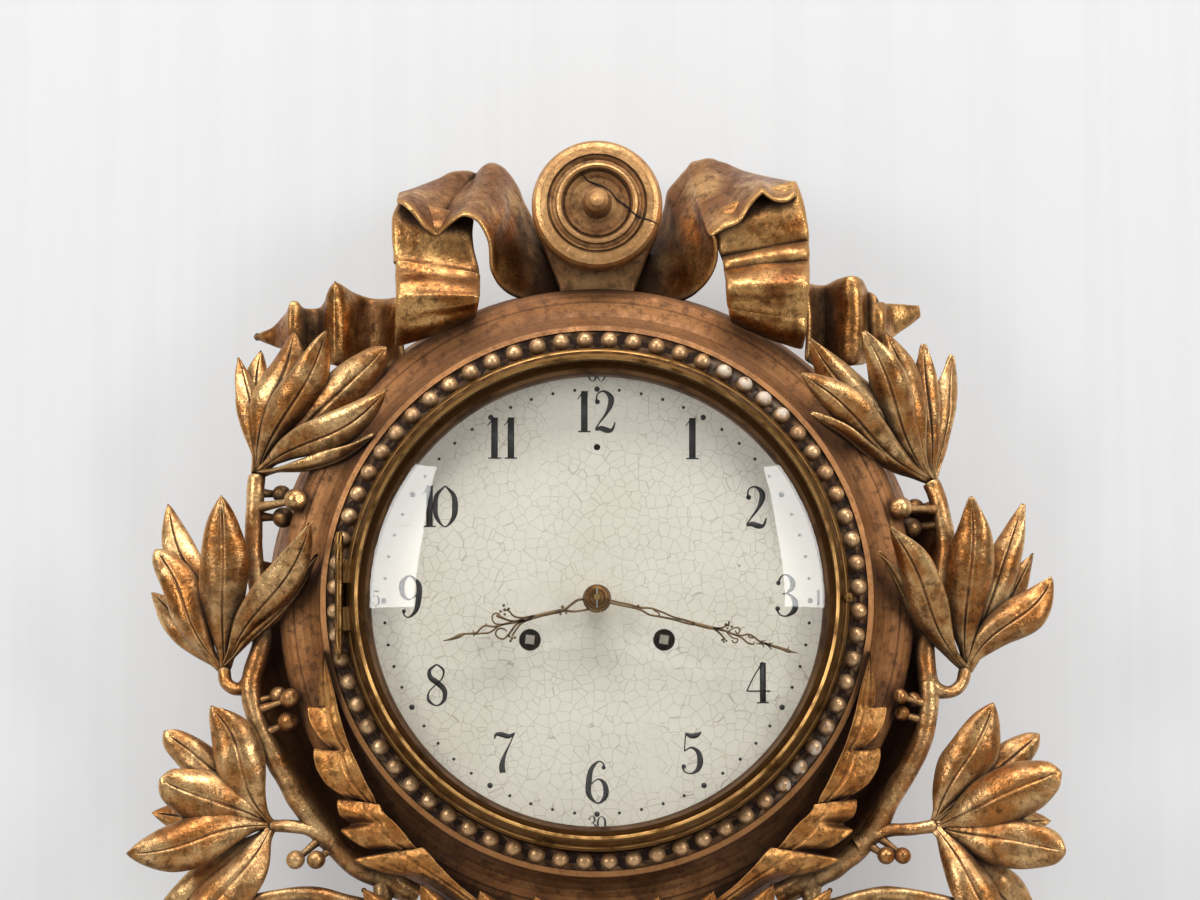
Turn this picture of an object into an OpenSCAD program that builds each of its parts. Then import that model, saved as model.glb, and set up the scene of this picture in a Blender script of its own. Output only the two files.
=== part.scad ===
// Wall clock with a carved and gilded case: a turned drum that holds the dial and the movement, a
// ribbon bow above it, laurel sprays at its sides, and a case for the pendulum below it.
// The wall is the plane y = 0 and the front faces -Y. The origin is the middle of the hanging hole.
// In the comments, h is how far a thing stands out from the wall.

/* [Dial] */
// Radius of the painted dial plate
dial_r = 120; // [114:0.5:126]
// Thickness of the dial plate
dial_t = 1.2; // [0.8:0.1:1.6]
// Front of the dial, out from the wall
dial_h = 94; // [94:0.5:104]
// Each winding hole, left or right of the hands
wind_x = 32.5; // [32:0.1:34]
// Each winding hole, below the hands
wind_drop = 19; // [18:0.25:20]
// Radius of the winding holes
wind_hole_r = 5.3; // [4.8:0.1:6]
// Radius of the hole for the hands
hand_hole_r = 5; // [4.8:0.1:6]

/* [Bezel and glass] */
// Width of the brass ring, seen from the front
bezel_w = 6.8; // [6.6:0.1:7.4]
// Depth of the brass ring
bezel_depth = 19.8; // [18:0.2:22]
// Thickness of the glass
glass_t = 2; // [1.6:0.1:2.4]
// Rise of the domed glass
glass_rise = 22; // [18:0.5:24]
// Radius of the pull knob
pull_r = 2.4; // [2:0.1:3]

/* [Hinge] */
// Length of the hinge
hinge_len = 57.5; // [45:0.5:62]
// Radius of the hinge knuckles
knuckle_r = 2; // [1.8:0.05:2.1]
// Radius of the hinge pin
hinge_pin_r = 0.9; // [0.8:0.05:1.1]

/* [Beads] */
// Number of turned beads round the dial
bead_count = 68; // [60:1:70]
// Radius of a bead
bead_r = 4.1; // [3.8:0.1:4.4]

/* [Case] */
// Wall of the drum
drum_wall = 8; // [7:0.5:10]
// Thickness of the back board
board_t = 10; // [8:0.5:11]
// How far the front moulding stands outside the bead ring
mould_w = 24; // [22:0.5:27]
// How far the drum spreads at the wall, outside its front moulding
flare = 10; // [4:0.5:12]
// Half the width of the pendulum case at the top
case_top_half = 66; // [64:0.5:70]
// Half the width of the pendulum case at the foot
case_foot_half = 32; // [28:0.5:36]
// Foot of the pendulum case, below the dial's middle
case_foot = 328; // [320:1:340]
// Front of the pendulum case, out from the wall
case_h = 58; // [56:0.5:62]
// Wall of the pendulum case
case_wall = 8; // [7:0.5:10]

/* [Crest] */
// Radius of the turned crest knob
knob_r = 32; // [30:0.5:33]
// Middle of the crest knob, above the dial's middle
knob_rise = 194.5; // [192:0.5:197]
// Thickness of the carved ribbon
ribbon_t = 3; // [2.6:0.2:4]

/* [Laurel and acanthus] */
// Width of the laurel leaves, times the width that each is drawn with
leaf_wide = 1.25; // [1:0.05:1.3]
// Thickness of a carved leaf at its middle
leaf_t = 3.4; // [3:0.2:4.4]
// Radius of the laurel stems
stem_r = 4; // [3.6:0.1:4.6]
// Radius of a laurel berry
berry_r = 4.2; // [3.6:0.1:4.8]

/* [Hanging] */
// Radius of the hanging hole
hang_hole_r = 4.5; // [4:0.1:5]
// Hanging hole, above the dial's middle
hang_rise = 116; // [114:0.5:118]
// Thickness of the iron hanging plate
hang_plate_t = 3; // [2:0.5:4]
// Radius of the steady hole in the back board
steady_hole_r = 2.5; // [2:0.1:3]

/* [Hands] */
// Length of the hour hand
hour_len = 77; // [68:0.5:82]
// Length of the minute hand
minute_len = 100; // [88:0.5:101]
// Hour hand, clockwise from the top
hour_angle = 254.5; // [0:0.5:360]
// Minute hand, clockwise from the top
minute_angle = 105.5; // [0:0.5:360]
// Thickness of the hands
hand_t = 1.2; // [0.8:0.1:1.6]

/* [Movement] */
// Thickness of the brass plates
plate_t = 2.5; // [2:0.1:3]
// Room between the plates
plate_gap = 39.5; // [39:0.5:41]
// Thickness of a train wheel
wheel_t = 1.4; // [1.1:0.1:1.6]
// Radius of the mainspring barrels
barrel_r = 24; // [22:0.25:24.25]
// Radius of the winding arbors
wind_arbor_r = 3; // [2.8:0.1:3.2]
// Across the flats of the winding squares
wind_square = 4.3; // [3.8:0.1:4.6]
// Radius of the bell
bell_r = 28; // [25:0.5:29]

/* [Pendulum] */
// Pivot to the middle of the bob
pendulum_len = 248.5; // [240:0.5:252]
// Radius of the bob
bob_r = 30; // [26:0.5:31]
// Thickness of the bob
bob_t = 10; // [8:0.5:12]
// Radius of the rod
rod_r = 1.6; // [1.4:0.1:2]

/* [Hidden] */

$fn = 64;
fit = 0.05;      // running clearance, on the radius
gap = 0.3;       // clearance between fixed pieces

// Radii from the dial outwards
seat_r = dial_r + 0.5;
ledge_r = dial_r - 8;
drum_in = dial_r + 10;
drum_out = drum_in + drum_wall;
bezel_r = dial_r + 2;
lip_r = bezel_r - bezel_w;
glass_r = lip_r + 0.6;
bezel_in = glass_r + 0.4;
sight_r = bezel_r - 12.6;
ring_in = bezel_r + 0.4;
bead_ring_r = ring_in + bead_r + 0.1;
ring_out = bead_ring_r + bead_r + 0.3;
mould_r = ring_out + mould_w;
flare_r = mould_r + flare;
board_r = flare_r - 2;

// Distances from the wall
dial_back = dial_h - dial_t;
seat_h = dial_h + 3;
bezel_back = seat_h + 0.8;
bezel_front = bezel_back + bezel_depth;
bead_h = seat_h + bead_r + 0.1;
bead_sunk = 1.8;         // top of the ring, below the middle of its beads
hinge_h = bezel_back + 12.7;
front_h1 = dial_back - 12.8;            // front of the front plate
front_h0 = front_h1 - plate_t;
back_h1 = front_h0 - plate_gap;         // front of the back plate
back_h0 = back_h1 - plate_t;
pendulum_h = back_h0 - 11.5;

// The dome is a piece of a ball that passes through the glass's edge
dome_edge_r = bezel_r - 9;
dome_edge_h = bezel_back + 12.2;
dome_r = (pow(dome_edge_r, 2) + pow(glass_rise, 2)) / (2 * glass_rise);
dome_mid_h = dome_edge_h + glass_rise - dome_r;
function dome_h(r, ball) = dome_mid_h + sqrt(ball * ball - r * r);
lip_h = dome_h(lip_r, dome_r) + 0.2;
sight_h = dome_h(glass_r, dome_r - glass_t) - 0.2;

// Hinge: the axis runs upwards just outside the bezel's left edge
hinge_x = bezel_r + 2.4;
hinge_low = -0.476 * hinge_len;
knuckle_len = hinge_len / 5;
leaf_plate = 1.2;
leaf_half = 12;

// Gears: teeth and module of each pair
barrel_teeth = 72;
barrel_mod = 0.8;
barrel_pinion = 9;
second_teeth = 60;
second_mod = 0.6;
centre_pinion = 12;
centre_teeth = 84;
third_mod = 0.42;
third_pinion = 7;
third_teeth = 70;
escape_pinion = 7;
escape_teeth = 30;
cannon_teeth = 14;
cannon_mod = 0.6;
minute_teeth = 42;
minute_pinion = 12;
hour_teeth = 48;
hour_mod = 0.56;
strike_teeth = 60;
strike_mod = 0.5;
pin_pinion = 10;
pin_teeth = 56;
fly_pinion = 7;
escape_rise = 25.65;
escape_r = 12.5;
pivot_rise = 45.5;

// Places of the arbors, seen from the front: [across, up] from the dial's middle
function span(n1, n2, m) = (n1 + n2) * m / 2;
function meet(a, ra, b, rb, side) =
    let (d = norm(b - a), u = (b - a) / d, k = (ra * ra - rb * rb + d * d) / (2 * d))
    a + u * k + side * sqrt(ra * ra - k * k) * [-u.y, u.x];
function polar(r, a) = r * [cos(a), sin(a)];
at_centre = [0, 0];
at_going = [wind_x, -wind_drop];
at_strike = [-wind_x, -wind_drop];
at_second = meet(at_going, span(barrel_teeth, barrel_pinion, barrel_mod),
                 at_centre, span(second_teeth, centre_pinion, second_mod), -1);
at_escape = [0, escape_rise];
at_third = meet(at_centre, span(centre_teeth, third_pinion, third_mod),
                at_escape, span(third_teeth, escape_pinion, third_mod), 1);
at_pivot = [0, pivot_rise];
at_minute = [0, -span(cannon_teeth, minute_teeth, cannon_mod)];
at_strike_second = at_strike + polar(span(barrel_teeth, barrel_pinion, barrel_mod), 105);
at_pin = at_strike_second + polar(span(strike_teeth, pin_pinion, strike_mod), 56);
at_fly = at_pin + polar(span(pin_teeth, fly_pinion, third_mod), 120);
at_hammer = [-27, 50];
at_bell = [0, 88];
at_head = at_bell + polar(bell_r + 4.6, 200);

// Distances of the wheels from the wall, counted from the plates
great_h = front_h0 - 5.5;
second_h = back_h1 + 9;
centre_h = back_h1 + 5.5;
third_h = back_h1 + 22;
escape_h = back_h1 + 28;
pin_h = back_h1 + 15;
cannon_h = front_h1 + 4;
hour_h = front_h1 + 7.6;
hour_hand_h = dial_h + 11.5;
minute_hand_h = hour_hand_h + hand_t + 2.8;
cannon_r = 2.7;
pipe_r = 4.3;
stud_r = 1.5;

// One ornament point is [across, up, out from the wall]. The points are drawn for a front moulding of
// radius 155 with the dial 94 from the wall, and follow both.
spread = mould_r / 155;
lift = dial_h / 94;
function spot(p) = [p[0] * spread, -p[2] * lift, p[1] * spread];

// Points on the pendulum case are drawn for a case that is 58 deep and 66 to each side at the top, with
// its foot 328 down
function case_spot(p) =
    let (down = case_top + (-p[1] - case_top) * (case_foot - case_top) / (328 - case_top))
    [p[0] * case_top_half / 66, -p[2] * case_h / 58, -down];

// Placing
module on_dial_axis() translate([0, 0, -hang_rise]) children();
module turned() rotate([90, 0, 0]) rotate_extrude($fn = 180) children();
module slab(h0, h1) translate([0, -h0, 0]) rotate([90, 0, 0]) linear_extrude(h1 - h0) children();
module rod(p, h0, h1, r) translate([p.x, -h0, p.y]) rotate([90, 0, 0]) cylinder(h = h1 - h0, r = r);
module at(p) translate([p.x, 0, p.y]) children();
module block(x0, x1, h0, h1, z0, z1) translate([x0, -h1, z0]) cube([x1 - x0, h1 - h0, z1 - z0]);

// Closed skin over a row of rings that all have the same number of points
function skin_faces(n, k) = concat(
    [[for (j = [0:n - 1]) j]],
    [[for (j = [n - 1:-1:0]) (k - 1) * n + j]],
    [for (i = [0:k - 2]) for (j = [0:n - 1])
        let (a = i * n + j, b = i * n + (j + 1) % n) [a, a + n, b + n]],
    [for (i = [0:k - 2]) for (j = [0:n - 1])
        let (a = i * n + j, b = i * n + (j + 1) % n) [a, b + n, b]]);
module skin(rings)
    polyhedron(points = [for (ring = rings) each ring], faces = skin_faces(len(rings[0]), len(rings)));

function unit(v) = v / norm(v);
function turn_about(v, k, a) = v * cos(a) + cross(k, v) * sin(a) + k * (k * v) * (1 - cos(a));
function run(path, i) = unit(path[min(i + 1, len(path) - 1)] - path[max(i - 1, 0)]);

// Round branch along a path, with its radius going from r0 to r1
module branch(path, r0, r1, out = [0, -1, 0], sides = 8)
    skin([for (i = [0:len(path) - 1])
        let (t = run(path, i), s = unit(cross(t, out)), n = cross(s, t),
             r = r0 + (r1 - r0) * i / (len(path) - 1))
        [for (k = [0:sides - 1]) path[i] + r * (n * cos(k * 360 / sides) + s * sin(k * 360 / sides))]]);

// Carved blade along a path: half its width at each point, a ridge along the middle, and edges that
// lie back from the ridge by cup
module blade(path, half_w, out, t_mid, cup)
    skin([for (i = [0:len(path) - 1])
        let (t = run(path, i), s = unit(cross(t, out)), n = cross(s, t), w = half_w[i],
             thin = min(1, w / 4), c = cup * w)
        [for (q = [[0, 0.5], [0.55, 0.4], [1, 0], [0, -0.5], [-1, 0], [-0.55, 0.4]])
            path[i] + s * w * q[0] + n * (t_mid * thin * q[1] - c * abs(q[0]))]]);

// Pointed laurel leaf from its foot to its tip, with a bow outwards and a roll about its length
leaf_steps = [0, 0.12, 0.32, 0.55, 0.78, 1];
function leaf_half_w(w, t) = max(t < 0.5 ? 1.6 : 0.5, w / 2 * pow(sin(180 * pow(t, 0.85)), 0.85));
module leaf(foot, tip, w, roll = 0, bow = 6) {
    d = unit(tip - foot);
    out = turn_about([0, -1, 0], d, roll);
    path = [for (t = leaf_steps) foot + (tip - foot) * t + out * bow * sin(180 * t)];
    blade(path, [for (t = leaf_steps) leaf_half_w(w, t)], out, leaf_t, 0.22);
    hull() {
        translate(path[0]) sphere(r = 2, $fn = 5);
        translate(path[2]) sphere(r = 1.4, $fn = 5);
    }
}

// Flat ribbon between a front edge and a back edge
module ribbon(front, back)
    skin([for (i = [0:len(front) - 1])
        let (f = spot(front[i]), b = spot(back[i]),
             mids = [for (j = [0:len(front) - 1]) (spot(front[j]) + spot(back[j])) / 2],
             n = unit(cross(run(mids, i), unit(b - f))) * ribbon_t / 2)
        [f - n, b - n, b + n, f + n]]);

// Case
module drum_case() {
    color("peru") on_dial_axis() difference() {
        turned() polygon([
            [drum_in, board_t], for (q = flare_side) q,
            [mould_r - 1, mould_h - 0.6], [mould_r, mould_h + 1.2], [mould_r, mould_h + 3.4],
            [mould_r - 0.8, mould_h + 5.6], [mould_r - 2.6, mould_h + 7.6], [mould_r - 5, mould_h + 9],
            [mould_r - 7.6, mould_h + 9.6], [mould_r - 7.8, mould_h + 10.4],
            [mould_r - 11.5, mould_h + 11.2], [mould_r - 15, mould_h + 13.2],
            [ring_out + 6, seat_h - 5.6], [ring_out + 4, seat_h - 1.6], [ring_out + 3, seat_h + 3],
            [ring_out + gap, seat_h + 4.2], [ring_out + gap, seat_h],
            [seat_r, seat_h], [seat_r, dial_back], [ledge_r, dial_back], [ledge_r, dial_back - 4],
            [drum_in, dial_back - 14]
        ]);
        block(-window_half, window_half, board_t - 1, case_inner_h, -flare_r - 1, -drum_in + 14);
        hinge_slot(fit);
        for (p = drum_screws) rod(p, board_t - 1, board_t + screw_grip + gap, screw_r);
    }
}
mould_h = dial_h - 19;
// The drum's side, from the wall to the back of the front moulding
flare_side = [[flare_r, board_t], [flare_r, board_t + 4], [flare_r - 3, board_t + 20],
    [mould_r - 1, mould_h - 22], [mould_r - 6, mould_h - 9], [mould_r - 6.5, mould_h - 5],
    [mould_r - 5, mould_h - 3]];
window_half = case_top_half - case_wall - 10;
case_inner_h = case_h - 11;

// Slot for the fixed hinge leaf, through the bead ring and into the seat
module hinge_slot(free)
    block(-hinge_x - leaf_plate / 2 - free, -hinge_x + leaf_plate / 2 + free, seat_h - 6 - free,
          hinge_h, -leaf_half + 1 - free, leaf_half + 1 + free);

module pearl_moulding() {
    color("goldenrod") on_dial_axis() difference() {
        union() {
            turned() polygon([[ring_in, seat_h], [ring_out, seat_h], [ring_out, bead_h - bead_sunk],
                              [ring_in, bead_h - bead_sunk]]);
            for (k = [0:bead_count - 1]) {
                p = polar(bead_ring_r, (k + 0.5) * 360 / bead_count);
                translate([p.x, -bead_h, p.y]) rotate([0, 0, -90]) sphere(r = bead_r, $fn = 24);
            }
        }
        block(-hinge_x - leaf_plate, -ring_in + 4, seat_h - 1, hinge_h, -leaf_half, leaf_half + 2);
    }
}

// Outline of the pendulum case: it narrows downwards on a curve
case_steps = 8;
case_top = 110;
function case_half(z) =
    case_top_half - (case_top_half - case_foot_half) * pow(max(0, -z - case_top) / (case_foot - case_top), 2);
function case_side(inset) = [for (i = [0:case_steps])
    let (z = -case_top - (case_foot - inset - case_top) * i / case_steps) [case_half(z) - inset, z]];
module case_outline(inset) {
    right = case_side(inset);
    polygon(concat(right, [for (i = [len(right) - 1:-1:0]) [-right[i].x, right[i].y]]));
}

drum_screws = [for (a = [30, 90, 150, 210, 330]) polar(drum_out - drum_wall / 2, a)];
case_screw_spots = [for (z = [-180, -250]) for (s = [-1, 1]) [s * (case_half(z) - case_wall / 2), z]];
screw_spots = concat(drum_screws, case_screw_spots);
screw_r = 1.7;
screw_grip = 12;

module back_board() {
    color("burlywood") on_dial_axis() difference() {
        union() {
            rod(at_centre, 0, board_t, board_r);
            slab(0, board_t) case_outline(0.5);
        }
        rod(at_centre, -1, board_t + 1, board_window_r);
        block(-slot_half, slot_half, -1, board_t + 1, -case_foot + 72, 0);
        rod([0, hang_rise], -1, board_t + 1, hang_hole_r + 1);
        rod([0, hang_rise], -1, hang_plate_t, hang_plate_r);
        rod([0, -case_foot + 22], -1, board_t + 1, steady_hole_r);
        for (p = screw_spots) rod(p, -1, board_t + 1, screw_r);
        for (p = screw_spots) rod(p, -1, 2, screw_r * 2);
    }
}
board_window_r = board_r - 38;
slot_half = 34;
hang_plate_r = 11;

module hanger_plate() {
    color("dimgray") on_dial_axis() difference() {
        rod([0, hang_rise], 0, hang_plate_t, hang_plate_r - fit);
        rod([0, hang_rise], -1, hang_plate_t + 1, hang_hole_r);
        for (s = [-1, 1]) rod([s * 7.6, hang_rise], -1, hang_plate_t + 1, 1);
    }
}

module case_screws() {
    color("silver") on_dial_axis() for (p = screw_spots) {
        rod(p, 0.3, 2, screw_r * 2 - fit);
        rod(p, 2, board_t + screw_grip, screw_r - fit);
    }
}

module pendulum_case() {
    color("darkgoldenrod") on_dial_axis() difference() {
        union() {
            slab(board_t, case_h) case_outline(0);
            slab(case_h - 1, case_h + 3) case_outline(5);
            slab(case_h - 1, case_h + 5) case_outline(12);
        }
        slab(board_t - 1, case_inner_h) case_outline(case_wall);
        turned() polygon([
            [0, 0], [flare_r + fit, 0], for (q = flare_side) [q.x + fit * 2, q.y],
            [mould_r + fit, mould_h], [mould_r + fit, mould_h + 20], [0, mould_h + 20]]);
        for (p = case_screw_spots) rod(p, board_t - 1, board_t + screw_grip + gap, screw_r);
    }
}

module pendant_bud() {
    color("goldenrod") on_dial_axis() translate([0, -bud_h, -case_foot])
        rotate_extrude($fn = 96) polygon([
            [0, 1.5], [bud_r - 4, 1.5], [bud_r, -3], [bud_r - 1, -7], [bud_r - 9, -10], [bud_r - 11, -14],
            [bud_r - 8, -19], [bud_r - 3, -27], [bud_r - 2, -35], [bud_r - 6, -45], [bud_r - 14, -56],
            [bud_r - 19, -63], [bud_r - 20, -68], [bud_r - 22, -72], [0, -73]]);
}
bud_h = 36;
bud_r = 23;

// Crest: a turned boss on a short neck that is let into the top of the drum
module crest_knob() {
    color("gold") on_dial_axis() {
        translate([0, 0, knob_rise]) turned() polygon([
            [0, 44], [knob_r - 2, 44], [knob_r - 1, 47], [knob_r - 2, 51], [knob_r - 7, 56],
            [knob_r - 8, 64], [knob_r - 6.5, 74], [knob_r - 2, 80], [knob_r, 85], [knob_r, 92],
            [knob_r - 0.6, 95], [knob_r - 2, 97], [knob_r - 4, 97.8], [knob_r - 7.4, 98.2],
            [knob_r - 7.8, 96.8], [knob_r - 8.4, 96.8], [knob_r - 8.8, 98.2], [knob_r - 10.4, 97],
            [knob_r - 11.6, 97.6], [knob_r - 12.2, 99.4], [knob_r - 13.3, 100], [knob_r - 14.4, 99.2],
            [knob_r - 15.2, 97.2], [knob_r - 15.6, 96], [knob_r - 16.4, 96.8], [knob_r - 19, 95],
            [9.4, 94.2], [7.4, 95.2], [6.6, 97.4], [6.4, 103], [5.5, 109], [3.2, 111.6], [0, 112.4]]);
        difference() {
            slab(30, 76) polygon([[-18, drum_out - 6], [18, drum_out - 6], [18, mould_r + 2],
                                  [knob_r - 6, knob_rise - 16], [6 - knob_r, knob_rise - 16],
                                  [-18, mould_r + 2]]);
            rod(at_centre, 29, 77, drum_out - 1);
        }
    }
}

// Ribbon bow: for each side the front and the back edge of the loop, then the two edges of the
// hanging fold and the two edges of the tail
left_loop_front = [[-24, 159, 60], [-38, 155, 66], [-49, 159, 76], [-52, 166, 86], [-53, 175, 92],
    [-56, 184, 96], [-66, 189, 98], [-74, 186, 98], [-81, 181, 98], [-88, 188, 98], [-96, 196, 98]];
left_loop_back = [[-32, 181, 40], [-34, 196, 36], [-38, 214, 34], [-46, 222, 34], [-52, 225, 34],
    [-59, 222, 38], [-65, 223, 40], [-75, 220, 42], [-85, 213, 46], [-92, 208, 50], [-98, 204, 56]];
right_loop_front = [[20, 159, 60], [37, 156, 66], [49, 159, 76], [55, 164, 86], [56, 170, 92],
    [53, 177, 96], [60, 183, 98], [68, 188, 98], [74, 198, 98], [82, 203, 98], [90, 198, 98],
    [97, 203, 98]];
right_loop_back = [[32, 181, 40], [34, 196, 36], [37, 212, 34], [45, 223, 34], [52, 230, 34],
    [61, 228, 38], [70, 223, 40], [78, 219, 44], [85, 216, 48], [91, 213, 52], [96, 210, 56],
    [100, 205, 60]];
left_fold_outer = [[-98, 202, 76], [-101, 192, 90], [-101, 169, 90], [-99, 154, 102], [-99, 146, 97],
    [-98, 126, 92]];
left_fold_inner = [[-66, 197, 80], [-62, 188, 92], [-60, 161, 90], [-58, 150, 102], [-57, 144, 98],
    [-56, 142, 88]];
right_fold_outer = [[99, 206, 76], [101, 196, 90], [104, 173, 90], [104, 153, 102], [104, 143, 96],
    [99, 124, 90]];
right_fold_inner = [[72, 198, 80], [62, 185, 92], [61, 165, 90], [62, 150, 102], [62, 146, 98],
    [62, 141, 88]];
left_tail_top = [[-97, 158, 88], [-110, 161, 62], [-119, 164, 78], [-126, 157, 66], [-134, 153, 58],
    [-141, 154, 70], [-149, 153, 72], [-157, 146, 58], [-165, 141, 52], [-172, 138, 48]];
left_tail_low = [[-96, 127, 84], [-109, 127, 62], [-119, 125, 74], [-126, 125, 66], [-134, 126, 60],
    [-141, 125, 66], [-149, 125, 68], [-156, 127, 58], [-164, 131, 52], [-171, 135, 48]];
right_tail_top = [[102, 161, 88], [115, 165, 62], [126, 163, 78], [131, 157, 72], [138, 151, 64],
    [145, 150, 56], [162, 150, 48]];
right_tail_low = [[100, 127, 84], [114, 127, 62], [126, 124, 74], [132, 125, 68], [140, 129, 60],
    [148, 135, 54], [160, 147, 48]];

// A core of solid wood joins the loop, the hanging fold and the tail at the back of each bow
module bow(loop_front, loop_back, fold_outer, fold_inner, tail_top, tail_low, root, end) {
    ribbon(loop_front, loop_back);
    ribbon(fold_outer, fold_inner);
    ribbon(tail_top, tail_low);
    for (k = [[loop_back[1], root], [loop_front[1], root], [fold_inner[4], loop_front[3]]]) hull() {
        translate(spot(k[0])) sphere(r = 3.4, $fn = 6);
        translate(spot(k[1])) sphere(r = 4, $fn = 6);
    }
    for (k = [[fold_outer[1], loop_front[len(loop_front) - 1]], [fold_outer[3], tail_top[0]],
              [fold_outer[4], tail_low[0]], [fold_inner[2], loop_front[4]], [tail_low[1], end]]) hull() {
        translate(spot(k[0])) sphere(r = 2.2, $fn = 5);
        translate(spot(k[1])) sphere(r = 2.2, $fn = 5);
    }
}
module ribbon_bow_left() {
    color("goldenrod") on_dial_axis()
        bow(left_loop_front, left_loop_back, left_fold_outer, left_fold_inner, left_tail_top,
            left_tail_low, [-24, 172, 50], [-97, 106, 74]);
}
module ribbon_bow_right() {
    color("goldenrod") on_dial_axis()
        bow(right_loop_front, right_loop_back, right_fold_outer, right_fold_inner, right_tail_top,
            right_tail_low, [24, 172, 50], [97, 106, 74]);
}

// Laurel: the stems rise from the foot of the drum and carry three sprays on each side
left_stem = [[-88, -142, 70], [-104, -134, 74], [-120, -125, 76], [-134, -110, 76], [-145, -96, 76],
    [-154, -80, 76], [-163, -64, 76], [-169, -41, 76], [-164, -20, 74], [-165, -2, 72],
    [-168, 23, 70], [-168, 44, 68], [-167, 65, 66]];
right_stem = [[88, -142, 70], [104, -134, 74], [120, -125, 76], [134, -111, 76], [143, -94, 76],
    [157, -70, 76], [162, -45, 76], [160, -20, 74], [166, -2, 72], [171, 28, 70], [168, 50, 68],
    [164, 61, 66]];
left_berries = [[-155, 55, 62], [-147, 50, 87], [-155, 43, 66], [-156, -45, 78], [-149, -47, 88],
    [-150, -58, 84], [-146, -125, 84], [-136, -125, 84]];
right_berries = [[148, 46, 87], [156, 48, 62], [154, 38, 66], [147, -46, 88], [154, -47, 78],
    [148, -54, 84], [140, -123, 84], [148, -123, 84]];

// Nearest point of a stem, where a twig leaves it
function nearest(p, path) =
    let (d = [for (q = path) norm(spot(q) - p)], k = search(min(d), d)[0]) spot(path[k]);
module stem(path, berries, low_tip) {
    points = [for (p = path) spot(p)];
    branch(points, stem_r + 1, stem_r - 0.6);
    low = [spot(path[1]), spot((path[0] + path[1]) / 2 * 1.12 + [0, -2, 6]),
           (spot(path[1]) + spot(low_tip)) / 2 + [0, 0, -1], spot(low_tip)];
    branch(low, stem_r - 0.4, 1.6);
    for (b = berries) {
        translate(spot(b)) sphere(r = berry_r, $fn = 8);
        hull() {
            translate(spot(b)) sphere(r = 1.2, $fn = 4);
            translate(nearest(spot(b), path)) sphere(r = 1.2, $fn = 4);
        }
    }
}
module laurel_stem_left() {
    color("darkgoldenrod") on_dial_axis() stem(left_stem, left_berries, [-174, -146, 80]);
}
module laurel_stem_right() {
    color("darkgoldenrod") on_dial_axis() stem(right_stem, right_berries, [174, -146, 80]);
}

// A spray: its foot, the stem point that it grows from, and each leaf as [tip, width, roll]
module spray(foot, from, leaves) {
    branch([spot(from), (spot(from) + spot(foot)) / 2 + [0, 0, -2], spot(foot)], stem_r - 0.8, 3);
    hull() {
        translate(spot(from)) sphere(r = stem_r - 0.6, $fn = 6);
        translate((spot(from) * 0.7 + spot(foot) * 0.3)) sphere(r = stem_r - 0.8, $fn = 6);
    }
    for (l = leaves) leaf(spot(foot), spot(l[0]), l[1] * leaf_wide, l[2]);
}
module laurel_spray_left_upper() {
    color("gold") on_dial_axis() spray([-167, 65, 66], [-167, 55, 67], [
        [[-178, 123, 58], 18, 10], [[-166, 127, 50], 18, 0], [[-148, 135, 72], 22, -10],
        [[-132, 134, 92], 20, 15], [[-102, 126, 84], 20, 0], [[-101, 103, 108], 15, 40],
        [[-108, 84, 100], 12, 60]]);
}
module laurel_spray_left_middle() {
    color("gold") on_dial_axis() spray([-182, -32, 70], [-168, -42, 76], [
        [[-219, 7, 48], 18, 0], [[-216, 28, 66], 20, -10], [[-211, 51, 52], 20, 0],
        [[-183, 53, 86], 22, 0], [[-138, 38, 112], 18, 30], [[-137, 25, 98], 14, 60]]);
}
module laurel_spray_left_lower() {
    color("gold") on_dial_axis() spray([-158, -108, 74], [-141, -105, 76], [
        [[-188, -50, 84], 22, 0], [[-212, -63, 74], 20, 15], [[-213, -86, 88], 22, 0],
        [[-217, -101, 60], 18, 0], [[-228, -123, 92], 22, 0], [[-218, -160, 66], 19, -10],
        [[-196, -168, 84], 19, 10]]);
}
module laurel_spray_right_upper() {
    color("gold") on_dial_axis() spray([164, 61, 66], [167, 52, 67], [
        [[98, 111, 106], 14, -50], [[103, 129, 88], 20, 0], [[104, 94, 100], 18, 0],
        [[130, 133, 94], 20, -15], [[141, 134, 74], 20, 0], [[160, 129, 66], 19, 0],
        [[174, 125, 54], 18, -10]]);
}
module laurel_spray_right_middle() {
    color("gold") on_dial_axis() spray([180, -32, 70], [162, -42, 76], [
        [[141, 36, 112], 14, -55], [[138, 26, 98], 18, -10], [[182, 52, 88], 21, 0],
        [[209, 50, 66], 20, 0], [[214, 26, 54], 18, 10], [[223, 13, 70], 19, 0]]);
}
module laurel_spray_right_lower() {
    color("gold") on_dial_axis() spray([164, -108, 74], [140, -103, 76], [
        [[193, -48, 80], 20, 0], [[216, -63, 66], 19, 0], [[226, -83, 92], 22, -10],
        [[221, -105, 62], 18, 0], [[228, -122, 88], 20, 0], [[214, -158, 66], 19, 10],
        [[197, -168, 84], 18, -10]]);
}

// Acanthus that hugs the drum at each side: a spine and the tips of its lobes
acanthus_spine = [[-60, -148, 88], [-80, -137, 93], [-101, -119, 98], [-118, -95, 101],
    [-129, -67, 103], [-133, -45, 104], [-134, -25, 104]];
acanthus_half_w = [12, 15, 16, 14, 10, 6, 1.5];
acanthus_lobes = [[[-134, -45, 105], [-142, -49, 98]], [[-131, -60, 106], [-145, -72, 97]],
    [[-122, -90, 104], [-141, -95, 96]], [[-110, -110, 102], [-136, -110, 92]],
    [[-98, -125, 100], [-124, -128, 90]], [[-112, -98, 104], [-100, -98, 106]],
    [[-96, -120, 102], [-84, -118, 106]]];
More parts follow.
